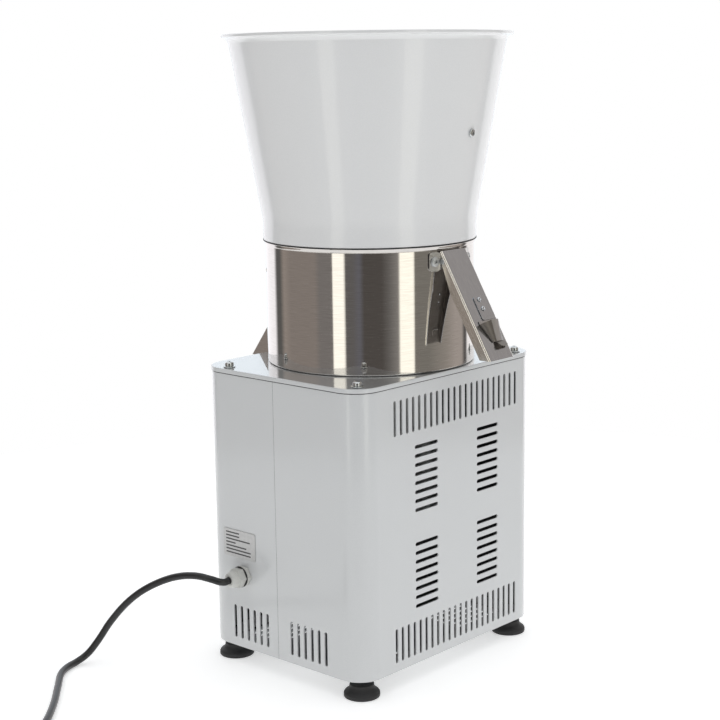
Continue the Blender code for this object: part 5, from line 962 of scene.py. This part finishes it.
def make_hood():
    """The sheet hood over the outlet, open below and toward the drum."""
    half = HOOD_HALF
    top_z = DRUM_LOW_Z + HOOD_RISE
    cover_edge = HALF_WIDTH + COVER_OVERHANG + GAP
    slope = (HOOD_TIP_Z - top_z) / (HOOD_TIP_X - DRUM_RADIUS)
    inside_x = math.sqrt(DRUM_RADIUS**2 - half**2) - OVER

    def side_profile(drop, low):
        start = top_z - drop + slope * (inside_x - DRUM_RADIUS)
        tip_x = HOOD_TIP_X + drop / slope
        return [
            (inside_x, start), (inside_x, DRUM_LOW_Z - low), (cover_edge, DRUM_LOW_Z - low),
            (cover_edge, HOOD_TIP_Z - low), (tip_x, HOOD_TIP_Z - low), (tip_x, HOOD_TIP_Z),
        ]

    upright = turn(90, "X")
    outline = side_profile(HOOD_SHEET * math.sqrt(1 + slope**2), OVER)
    hollow = [(prism, outline, HOOD_SHEET - half, half - HOOD_SHEET, upright)]
    fit = [(rod, DRUM_RADIUS + GAP, HOOD_TIP_Z - OVER, DRUM_TOP_Z, HERE, ROUND_SEGMENTS)]
    hood = [(prism, side_profile(0, 0)[:-1], -half, half, upright)]
    make("meal_hood", "bright_steel", "outlet_hood", hood, [hollow, fit], edge=SHEET_EDGE)


def hopper_radius(z):
    """The outer radius of the hopper's cone at a height."""
    share = (z - HOPPER_CONE_Z) / (HOPPER_RIM_Z - HOPPER_CONE_Z)
    return COLLAR_RADIUS + (HOPPER_CONE_RADIUS - COLLAR_RADIUS) * share


def make_hopper():
    """The painted hopper: straight collar with a thin black ring round its foot, soft bend, cone and a rolled
    rim.
    """
    flare = HOPPER_RIM_RADIUS - HOPPER_CONE_RADIUS
    collar = COLLAR_RADIUS

    def bend_points(offset):
        corner = Vector((collar - offset, HOPPER_CONE_Z))
        below = Vector((collar - offset, HOPPER_CONE_Z - HOPPER_BEND))
        above_z = HOPPER_CONE_Z + HOPPER_BEND
        above = Vector((hopper_radius(above_z) - offset, above_z))
        shares = [i / HOPPER_BEND_STEPS for i in range(HOPPER_BEND_STEPS + 1)]
        return [tuple(below * (1 - t) ** 2 + corner * (2 * t * (1 - t)) + above * t**2) for t in shares]

    rim = scaled(RIM_SHARES, flare, HOPPER_RIM_HEIGHT, (HOPPER_CONE_RADIUS, HOPPER_RIM_Z))
    start = (HOPPER_CONE_RADIUS - HOPPER_SHEET, HOPPER_RIM_Z)
    inner_rim = scaled(INNER_RIM_SHARES, flare, HOPPER_RIM_HEIGHT, start)
    profile = [(collar - COLLAR_EDGE, HOPPER_Z), (collar, HOPPER_Z + COLLAR_EDGE_HEIGHT)]
    profile += bend_points(0) + smooth_through(rim, 5) + smooth_through(inner_rim, 4)
    profile += bend_points(HOPPER_SHEET)[::-1] + [(collar - HOPPER_SHEET, HOPPER_Z)]
    cuts = [(rod, GUARD_HOLE_RADIUS, -WALL_HOLE_DEPTH, OVER, guard_screw_seat(number)) for number in (1, 2)]
    hopper = [(turned, profile, ROUND_SEGMENTS)]
    make("feed_hopper", "hopper_paint", "hopper", hopper, [cuts], body="hopper_set")
    # A thin black ring round the collar's foot darkens the line between the collar and the drum's lip.
    heights = (HOPPER_Z - GAP / 2, HOPPER_Z + COLLAR_RING_HEIGHT)
    black_ring = [(tube, collar - COLLAR_RING_SHEET, collar + COLLAR_RING_SHEET, *heights, ROUND_SEGMENTS)]
    make("collar_black_ring", "rubber", None, black_ring, body="hopper_set")
    make_funnel()
    make_guard(cuts)


def make_funnel():
    """The steel funnel under the hopper with its spigot in the drum."""
    sheet = FUNNEL_SHEET
    throat = FUNNEL_THROAT_RADIUS
    outer = COLLAR_RADIUS - HOPPER_SHEET - GAP
    spigot = DRUM_RADIUS - DRUM_WALL - GAP
    throat_z = HOPPER_Z - FUNNEL_DROP
    low = throat_z - FUNNEL_THROAT_LENGTH
    slant = FUNNEL_DROP / (spigot - sheet - throat)
    under = sheet * math.sqrt(1 + slant**2)
    profile = [
        (outer, HOPPER_Z), (outer, HOPPER_Z + sheet), (spigot, HOPPER_Z + sheet),
        (throat + OVER, throat_z + sheet + OVER * slant), (throat + OVER / 4, throat_z + sheet),
        (throat, throat_z), (throat, low), (throat + sheet, low),
        (throat + sheet, throat_z + sheet + sheet * slant - under),
        (spigot - sheet, HOPPER_Z + sheet - under), (spigot - sheet, HOPPER_Z - FUNNEL_SPIGOT),
        (spigot, HOPPER_Z - FUNNEL_SPIGOT), (spigot, HOPPER_Z),
    ]
    funnel = [(turned, profile, ROUND_SEGMENTS)]
    make("steel_funnel", "satin_steel", "feed_funnel", funnel, body="hopper_set")


def cone_lean():
    """The cone wall's angle from the vertical."""
    return math.atan((HOPPER_CONE_RADIUS - COLLAR_RADIUS) / (HOPPER_RIM_Z - HOPPER_CONE_Z))


def guard_screw_seat(number):
    """Where a guard screw's head lies on the cone, with +Z outward."""
    middle_z = GUARD_Z + TAB_HEIGHT / 2
    face = turn(GUARD_DEG + 180 * (number - 1)) @ shift(hopper_radius(middle_z), 0, middle_z)
    return face @ Matrix.Rotation(cone_lean(), 4, "Y") @ ALONG_X


def make_guard(holes):
    """The hand guard: a flat ring with crossed bars on two bent tabs, and its two screws."""
    edge = hopper_radius(GUARD_Z) - HOPPER_SHEET / math.cos(cone_lean()) - GUARD_CLEARANCE
    inner = GUARD_RADIUS - GUARD_BAR_WIDTH
    top = GUARD_Z + GUARD_SHEET
    half = GUARD_BAR_WIDTH / 2
    joined = []
    for reach, side in ((edge, half), (half, inner + half)):
        joined.append([(box, (-reach, -side, GUARD_Z), (reach, side, top), turn(GUARD_DEG))])
    wall = hopper_radius(GUARD_Z + TAB_HEIGHT / 2)
    back = HOPPER_SHEET + GAP + wall - math.sqrt(wall**2 - (TAB_WIDTH / 2) ** 2)
    tab = (slab, TAB_WIDTH / 2, TAB_HEIGHT / 2, TAB_CORNER, -back - GUARD_SHEET, -back)
    joined.append([(*tab, guard_screw_seat(number) @ turn(90)) for number in (1, 2)])
    ring = [(tube, inner, GUARD_RADIUS, GUARD_Z, top, RING_SEGMENTS)]
    make(
        "hand_guard", "satin_steel", "hopper_guard", ring, [holes], joined, edge=SHEET_EDGE,
        body="hopper_set",
    )
    for number in (1, 2):
        make_screw(
            "guard", number, guard_screw_seat(number) @ shift(0, 0, GAP), shank=0.0020, length=0.0090,
            head=0.0048, height=0.0028, spin_deg=25, body="hopper_set",
        )


def bracket_ear(number):
    """Where the middle of a bracket's ear lies, with +Z outward, and half of its width."""
    side = 1 if number == 1 else -1
    strap_half = LEVER_HALF + GAP
    root_y = side * (strap_half - BRACKET_SHEET / 2)
    tip_y = side * (strap_half + EAR_WIDTH)
    clear = DRUM_RADIUS + GAP
    root_x = -clear - BRACKET_SHEET / 4
    tip_x = -math.sqrt(clear**2 - (tip_y + LEVER_OFFSET) ** 2) - GAP
    lean = math.atan2(tip_x - root_x, abs(tip_y - root_y))
    middle_x = (root_x + tip_x) / 2 - BRACKET_SHEET / math.cos(lean)
    middle = shift(middle_x, (root_y + tip_y) / 2 + LEVER_OFFSET, PIN_Z)
    outward = Matrix.Rotation(math.radians(180) - side * lean, 4, "Z") @ ALONG_X
    return middle @ outward, math.hypot(tip_x - root_x, tip_y - root_y) / 2


def bracket_screw_seat(number):
    """Where a bracket screw's head lies on its ear, with +Z outward."""
    side = 1 if number == 1 else -1
    place = bracket_ear(number)[0]
    screw_y = side * (LEVER_HALF + GAP + PIN_HEAD + GAP + BRACKET_SCREW_HEAD)
    sideways = place.to_3x3() @ Vector((0, 1, 0))
    step = sideways * (screw_y + LEVER_OFFSET - place.translation.y) / sideways.y
    return Matrix.Translation(step) @ place


def make_bracket():
    """The hinge bracket: a strap on the drum, two lugs inside the lever and two ears. Its screws and pin."""
    half = LEVER_HALF + GAP
    lug_out = LEVER_HALF - LEVER_SHEET - GAP
    wall = -(DRUM_RADIUS + GAP)
    at = shift(0, LEVER_OFFSET, PIN_Z)
    high = STRAP_HALF_HEIGHT
    ears = []
    holes = []
    for number in (1, 2):
        place, half_width = bracket_ear(number)
        ears.append((slab, EAR_HEIGHT / 2, half_width, EAR_CORNER, -BRACKET_SHEET, 0, place))
        holes.append((rod, BRACKET_HOLE_RADIUS, -WALL_HOLE_DEPTH, OVER, bracket_screw_seat(number)))
    hinge = at @ shift(PIN_X, 0, 0)
    reach = lug_out + OVER
    holes.append((rod, PIN_RADIUS + GAP, -reach, reach, hinge @ ALONG_Y))
    root = wall - BRACKET_SHEET / 2 - PIN_X
    radius = PIN_TO_FACE - LEVER_SHEET - GAP
    lug = [(root, radius)] + arc((0, 0), radius, 90, 240, 16) + [(root, -high)]
    spans = ((lug_out - BRACKET_SHEET, lug_out), (-lug_out, BRACKET_SHEET - lug_out))
    lugs = [(prism, lug, *span, hinge @ turn(90, "X")) for span in spans]
    strap = [(box, (wall - BRACKET_SHEET, -half, -high), (wall, half, high), at)]
    make("hinge_bracket", "satin_steel", "lever_bracket", strap, [holes], [ears, lugs], edge=FINE_EDGE)
    for number in (1, 2):
        make_screw(
            "bracket", number, bracket_screw_seat(number) @ shift(0, 0, GAP), shank=0.0021, length=0.0080,
            head=BRACKET_SCREW_HEAD, height=0.0026, spin_deg=60 * number, finish="dull_zinc",
        )
    head = PIN_HEAD
    rim = PIN_HEAD_RADIUS
    end = ((PIN_RADIUS, 0), (rim, 0), (rim, head / 2), (rim - head / 2, head), (0, head))
    profile = [(radius, -half - out) for radius, out in reversed(end)]
    profile += [(radius, half + out) for radius, out in end]
    make("hinge_pin", "dull_zinc", "lever_pin", [(turned, profile, SMALL_SEGMENTS, hinge @ ALONG_Y)])


def channel_section(edge_x, z, slope):
    """One cross section of the channel: outer skin with round bends, then the inner skin back again."""
    points = []
    for offset, radius in ((0, LEVER_BEND), (LEVER_SHEET, LEVER_INNER_BEND)):
        side = LEVER_HALF - offset
        x = offset - PIN_TO_FACE + radius
        right = arc((x, radius - side), radius, 270, 180, LEVER_BEND_SEGMENTS)
        left = arc((x, side - radius), radius, 180, 90, LEVER_BEND_SEGMENTS)
        edge = max(edge_x, x)
        skin_points = [(edge, -side)] + right + left + [(edge, side)]
        points += skin_points[::-1] if offset else skin_points
    return [(x, y, z + slope * (x + PIN_TO_FACE)) for x, y in points]


def make_lever():
    """The clamp lever: a channel with round bends, and the window for its catch. In its own frame X points
    toward the drum, Z up along the lever, and the pin is at zero."""
    edge = LEVER_DEPTH - PIN_TO_FACE
    face = -PIN_TO_FACE
    foot_slope = math.tan(math.radians(LEVER_LEAN_DEG))
    stations = [
        (edge, -LEVER_BELOW_PIN, foot_slope),
        (edge, -LEVER_BELOW_PIN + LEVER_DEPTH * foot_slope + OVER, 0),
        (edge, -LEVER_TAPER, 0),
        (PIN_TO_FACE * 0.85, -LEVER_ABOVE_PIN, 0),
        (PIN_TO_FACE * 0.60, 0, 0),
        (face * 0.25, LEVER_ABOVE_PIN * 0.66, 0),
        (face * 0.38, LEVER_ABOVE_PIN, 0),
    ]
    reach = LEVER_HALF + OVER
    pin_hole = [(rod, PIN_RADIUS + GAP, -reach, reach, ALONG_Y)]
    pivot_z = -CATCH_BELOW_PIN - CATCH_LENGTH - GAP
    top = pivot_z - TONGUE_ROOT - CONE_LENGTH + WINDOW_CLEARANCE
    low = top - TIP_LENGTH - TIP_DIP / 2
    half = TONGUE_WIDTH / 2 + WINDOW_CLEARANCE
    at = shift(face - OVER, TONGUE_OFFSET, (top + low) / 2) @ ALONG_X
    height = 2 * OVER + LEVER_SHEET
    window = [(slab, (top - low) / 2, half, WINDOW_CORNER, 0, height, at, TONGUE_SEGMENTS)]
    first = -CATCH_BELOW_PIN - RIVET_FROM_TOP
    rivets = (first, first - RIVET_SPACING)
    seats = [shift(face - RIVET_HOLE_REACH, RIVET_OFFSET, z) @ ALONG_X for z in rivets]
    rivet_holes = [(rod, RIVET_HOLE_RADIUS, 0, 2 * RIVET_HOLE_REACH, seat) for seat in seats]
    place = shift(PIN_X, LEVER_OFFSET, PIN_Z) @ turn(LEVER_LEAN_DEG, "Y")
    channel = [(skin, [channel_section(*station) for station in stations])]
    lever = make(
        "steel_lever", "drawn_steel", "clamp_lever", channel, [pin_hole, window, rivet_holes],
        edge=FINE_EDGE, place=place, body="lever",
    )
    depth = LEVER_SHEET * 0.8
    within = LEVER_HALF - depth
    tint(lever, "shaded_steel", lambda side: abs(side.center.y) < within and side.center.x > face + depth)
    # Painted reflection: the flanges' outer faces take a lighter, warm copy of the steel.
    tint(lever, "warm_steel", lambda side: abs(side.center.y) > LEVER_HALF - LEVER_SHEET / 4)

    # Painted highlight: the lever's outer bends take the near-white steel.
    def on_bend(side):
        leaning = side.normal.x < -BEND_SLOPE and abs(side.normal.y) > BEND_SLOPE
        return leaning and side.center.x < face + LEVER_BEND

    tint(lever, "worn_edge", on_bend)
    make_catch(place, rivet_holes, rivets, pivot_z)


def make_catch(place, rivet_holes, rivets, pivot_z):
    """The riveted leaf, its two rivets and the sprung tongue."""
    seat = -PIN_TO_FACE - GAP
    flat = shift(seat, CATCH_OFFSET, -CATCH_BELOW_PIN - CATCH_LENGTH / 2) @ ALONG_X
    leaf = [(slab, CATCH_LENGTH / 2, CATCH_WIDTH / 2, CATCH_CORNER, -CATCH_SHEET, 0, flat)]
    make(
        "catch_leaf", "drawn_steel", "catch_plate", leaf, [rivet_holes], edge=FINE_EDGE, place=place,
        body="lever",
    )
    rivet = [(turned, RIVET_PROFILE, SMALL_SEGMENTS)]
    for number, z in enumerate(rivets, 1):
        at = place @ shift(seat - CATCH_SHEET - GAP, RIVET_OFFSET, z) @ turn(-90, "Y")
        make(f"leaf_rivet_{number}", "drawn_steel", f"catch_rivet_{number}", rivet, place=at, body="lever")
    make_tongue(place @ shift(seat, TONGUE_OFFSET, pivot_z))


def cone_section(left, height, z):
    """An arch across the lever, from its left foot to its right one, then back one sheet further in."""
    middle = (left - CONE_RIGHT) / 2
    half = (left + CONE_RIGHT) / 2
    angles = [math.pi * i / CONE_STEPS for i in range(CONE_STEPS + 1)]
    points = []
    for sheet, order in ((CATCH_SHEET, angles), (0, angles[::-1])):
        wide = half - CATCH_SHEET + sheet
        points += [(-sheet - height * math.sin(angle), middle + wide * math.cos(angle), z) for angle in order]
    return points


def make_tongue(place):
    """The sprung tongue: a flat root, a half cone open at the top, a round tip that dips through the lever,
    and a dark sheet behind the lever's window that stands in for the shade seen through it."""
    sheet = CATCH_SHEET
    cone_top = -TONGUE_ROOT
    cone_low = cone_top - CONE_LENGTH
    flat = [
        (-CONE_RIGHT, 0), (CONE_LEFT, 0), (CONE_LEFT, cone_top), (CONE_FOOT_LEFT, cone_low),
        (-CONE_RIGHT, cone_low),
    ]
    outward = Matrix(((0, 0, 1, 0), (1, 0, 0, 0), (0, 1, 0, 0), (0, 0, 0, 1)))
    bottom = cone_section(CONE_FOOT_LEFT, sheet, cone_low)
    cone = [(skin, [bottom, cone_section(CONE_LEFT, CONE_HEIGHT, cone_top)])]
    length = math.hypot(TIP_LENGTH, TIP_DIP)
    lean = Matrix.Rotation(math.atan2(TIP_DIP, TIP_LENGTH), 4, "Y")
    foot = shift(0, (TIP_WIDTH - TONGUE_WIDTH) / 2, cone_low) @ lean @ shift(0, 0, -length / 2) @ ALONG_X
    tip = [(slab, length / 2 + sheet, TIP_WIDTH / 2, TIP_CORNER, -sheet, 0, foot, TONGUE_SEGMENTS)]
    # Painted shade: a dark sheet behind the lever's window, where there is only shade; it takes the shaded
    # steel.
    at = shift(0, 0, cone_low - WINDOW_SHADE_LENGTH / 2 + sheet) @ ALONG_X
    heights = (WINDOW_SHADE_DEPTH, WINDOW_SHADE_DEPTH + sheet)
    window_shade = [(slab, WINDOW_SHADE_LENGTH / 2, TONGUE_WIDTH / 2, WINDOW_CORNER, *heights, at, TONGUE_SEGMENTS)]
    tongue = make(
        "sprung_tongue", "sprung_steel", "catch_tongue", [(prism, flat, -sheet, 0, outward)],
        joined=[cone, tip, window_shade], edge=FINE_EDGE, place=place, body="catch",
    )

    def in_shade(side):
        z = side.center.z
        return z < cone_low or (side.normal.y > BEND_SLOPE and z < cone_top + sheet)

    tint(tongue, "shaded_steel", in_shade)


def make_gland():
    """The cable gland: hexagon on the wall, dark seal line, faceted nut with a soft dome."""
    place = shift(GLAND_X, HALF_DEPTH, GLAND_Z) @ ALONG_Y
    base_z = GAP + GLAND_HEX_LENGTH
    base = [(prism, hexagon(GLAND_HEX_RADIUS), GAP, base_z)]
    shank = [(rod, SHANK_RADIUS, -SHANK_LENGTH, GAP + OVER, HERE, GLAND_SEGMENTS)]
    make("gland_base", "nylon", "gland_body", base, joined=[shank], edge=GLAND_EDGE, place=place)
    ring = GLAND_HEX_RADIUS * 0.985
    seal = [(tube, ring * 0.7, ring, base_z - SEAL_SHEET, base_z + GAP + SEAL_SHEET, GLAND_SEGMENTS)]
    make("gland_seal", "rubber", None, seal, place=place)
    low = base_z + GAP
    high = low + NUT_LENGTH
    end = high + DOME_LENGTH
    points = [(DOME_FOOT_RADIUS, high - OVER)] + scaled(DOME, 1, DOME_LENGTH, (0, high))
    profile = [(0, high - OVER)] + smooth_through(points, 5) + [(0, end)]
    dome = [(turned, profile, GLAND_SEGMENTS)]
    bore = [(rod, GLAND_BORE_RADIUS, high, end + OVER, HERE, GLAND_SEGMENTS)]
    nut = [(prism, hexagon(NUT_HEX_RADIUS), low, high)]
    make("gland_cap", "nylon", "gland_nut", nut, [bore], [dome], edge=GLAND_EDGE, place=place)


def make_plate():
    """The silver plate over the gland, blank but for plain ruled lines."""
    low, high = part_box("rating_plate")
    half_width = (high.x - low.x) / 2
    half_height = (high.z - low.z) / 2
    sheet = high.y - low.y
    middle = node_middle("rating_plate")
    upright = shift(middle.x, low.y, middle.z) @ ALONG_Y @ turn(180)
    plate = [(slab, half_width, half_height, PLATE_CORNER, 0, sheet)]
    make("blank_plate", "silver_plate", "rating_plate", plate, edge=PLATE_EDGE, place=upright)
    rules = []
    reach = half_width * 0.84
    for row, share in enumerate(RULE_SHARES):
        y = half_height * (0.76 - 0.245 * row)
        corner = (2 * reach * share - reach, y + RULE_HALF_HEIGHT, sheet + RULE_SHEET)
        rules.append((box, (-reach, y - RULE_HALF_HEIGHT, sheet), corner))
    make("plate_rules", "plate_ink", None, rules, place=upright)


def make_switch():
    """The mains rocker switch in the front wall, with plain on and off marks."""
    low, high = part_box("switch_housing")
    middle = node_middle("switch_housing")
    inward = shift(middle.x, low.y, middle.z) @ ALONG_Y
    width = (high.x - low.x) / 2
    height = (high.z - low.z) / 2
    bezel = [(slab, width, height, SWITCH_CORNER, 0, BEZEL_SHEET, inward, 8)]
    wide = SWITCH_HALF_WIDTH - SWITCH_WALL
    tall = SWITCH_HALF_HEIGHT - SWITCH_WALL
    depths = (BEZEL_SHEET / 2, high.y - low.y)
    body = [(slab, SWITCH_HALF_WIDTH, SWITCH_HALF_HEIGHT, SWITCH_BODY_CORNER, *depths, inward, 4)]
    pocket = [(slab, wide, tall, SWITCH_BODY_CORNER, -OVER, POCKET_DEPTH, inward, 4)]
    make("switch_frame", "black_plastic", "switch_housing", bezel, [pocket], [body], edge=SWITCH_EDGE)
    tall -= ROCKER_END_CLEARANCE
    wide -= ROCKER_CLEARANCE
    shares = [1 - 2 * i / ROCKER_STEPS for i in range(ROCKER_STEPS + 1)]
    front = [(-ROCKER_VALLEY - ROCKER_RISE * share**2, tall * share) for share in shares]
    section = front + [(0, -tall), (ROCKER_ROOT, -tall / 2), (ROCKER_ROOT, tall / 2), (0, tall)]
    rocker = [(skin, [[(x, y, z) for y, z in section] for x in (-wide, wide)])]
    place = shift(middle.x, low.y + ROCKER_AXIS_DEPTH, middle.z) @ turn(ROCKER_TILT_DEG, "X")
    make(
        "mains_rocker", "red_plastic", "rocker_button", rocker, edge=SWITCH_EDGE, place=place,
        body="rocker",
    )
    places = []
    for side in (-1, 1):
        flat = shift(0, -ROCKER_VALLEY - ROCKER_RISE * MARK_SHARE**2, side * tall * MARK_SHARE)
        lean = Matrix.Rotation(side * 2 * ROCKER_RISE * MARK_SHARE / tall, 4, "X")
        places.append(flat @ turn(90, "X") @ lean)
    marks = [
        (tube, *OFF_MARK_RADII, *MARK_HEIGHTS, SMALL_SEGMENTS, places[0]),
        (slab, *ON_MARK, *MARK_HEIGHTS, places[1], 3),
    ]
    make("rocker_marks", "mark_white", None, marks, place=place, body="rocker")


def paint_kept_nodes():
    """Materials for the CAD nodes that stay: the motor, the milling tools and other inner parts."""
    kept = {
        "dull_zinc": ["bottom_plate"],
        "rubber": ["cover_gasket", "shaft_seal"],
        "cast": ["drum_floor", "motor_mount_plate", "motor_housing", "motor_end_bell"],
        "satin_steel": ["sieve_plate"],
        "laminations": ["stator_core", "rotor_core"],
        "machined": ["motor_shaft", "sweeper_rotor", "knife_blade", "upper_bearing", "lower_bearing"],
        "black_plastic": ["cooling_fan"],
        "can": ["run_capacitor"],
        "zinc": ["knife_nut", "foot_stud_1", "foot_stud_2", "foot_stud_3", "foot_stud_4"],
    }
    kept["zinc"] += ["mount_bolt_1", "mount_bolt_2", "mount_bolt_3"]
    for name, nodes in kept.items():
        for node in nodes:
            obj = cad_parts[node]
            if not obj.material_slots:
                obj.data.materials.append(MATERIALS[name])
            for holder in obj.material_slots:
                holder.material = MATERIALS[name]


def make_floor():
    """The pale floor that the mill stands on."""
    made = surface("floor", (0.90, 0.90, 0.90), (0.92, 0.92, 0.92), (0.70, 0.80), 8)
    inputs = {"Emission Color": (1, 1, 1, 1), "Emission Strength": FLOOR_GLOW}
    wire(made.node_tree, made.node_tree.nodes["Principled BSDF"], inputs)
    floor = build("floor", [(rod, FLOOR_RADIUS, -FLOOR_DEPTH, 0, HERE, RING_SEGMENTS)])
    floor.location = AXIS
    floor.data.materials.append(made)


def make_world():
    """A white studio: the camera sees white, matt pieces a soft sky, polished metal a room with windows."""
    world = adjust(bpy.data.worlds.new("studio"), use_nodes=True)
    bpy.context.scene.world = world
    tree = world.node_tree
    tree.nodes.clear()

    def math_node(operation, *terms):
        return adjust(add_node(tree, "Math", dict(enumerate(terms))), operation=operation).outputs[0]

    def shade(colour, strength):
        return add_node(tree, "Background", {"Color": colour, "Strength": strength}).outputs[0]

    def mix(*inputs):
        return add_node(tree, "MixShader", dict(enumerate(inputs))).outputs[0]

    where = tree.nodes.new("ShaderNodeTexCoord").outputs["Generated"]
    ahead = add_node(tree, "Mapping", {"Vector": where, "Rotation": (0, 0, -CAMERA_AZIMUTH)})
    parts = add_node(tree, "SeparateXYZ", {0: ahead.outputs["Vector"]}).outputs
    azimuth = math_node("ARCTAN2", parts["Y"], parts["X"])
    elevation = math_node("ARCSINE", parts["Z"])
    room = add_node(tree, "ValToRGB", {"Fac": spread(tree, azimuth, -math.pi, math.pi, 0, 1)})
    stops = room.color_ramp.elements
    stops.remove(stops[0])
    for first, last, colour in ROOM:
        for edge in sorted({first, last}):
            stop = stops[-1] if edge == 180 else stops.new((edge + 180) / 360)
            adjust(stop, position=(edge + 180) / 360, color=(*colour, 1))
    middle = math.radians(SKY_TURN_DEG)
    soft = math.radians(SKY_SOFT_DEG) / 2
    above_horizon = spread(tree, elevation, middle - soft, middle + soft, SKY_SIDE, SKY_TOP)
    below_horizon = spread(tree, elevation, -soft, 0, SKY_LOW - SKY_SIDE, 0)
    loss = spread(tree, math_node("SINE", azimuth), -1, 0, SKY_LEFT_LOSS, 0)
    sky = shade(SKY_COLOUR, math_node("SUBTRACT", math_node("ADD", above_horizon, below_horizon), loss))
    overhead = spread(tree, elevation, middle - soft, middle + soft, 0, 1)
    seen_by_metal = mix(overhead, shade(room.outputs["Color"], ROOM_STRENGTH), shade(SKY_COLOUR, SKY_TOP))
    ray = tree.nodes.new("ShaderNodeLightPath").outputs
    lit = mix(ray["Is Glossy Ray"], sky, seen_by_metal)
    seen = mix(ray["Is Camera Ray"], lit, shade((1, 1, 1, 1), 1))
    add_node(tree, "OutputWorld", {"Surface": seen})


bpy.context.scene.view_settings.view_transform = "Standard"
make_finishes()
make_camera()
make_cord()
make_casing()
make_drum()
make_hood()
make_hopper()
make_bracket()
make_lever()
make_gland()
make_plate()
make_switch()
paint_kept_nodes()
make_floor()
make_world()
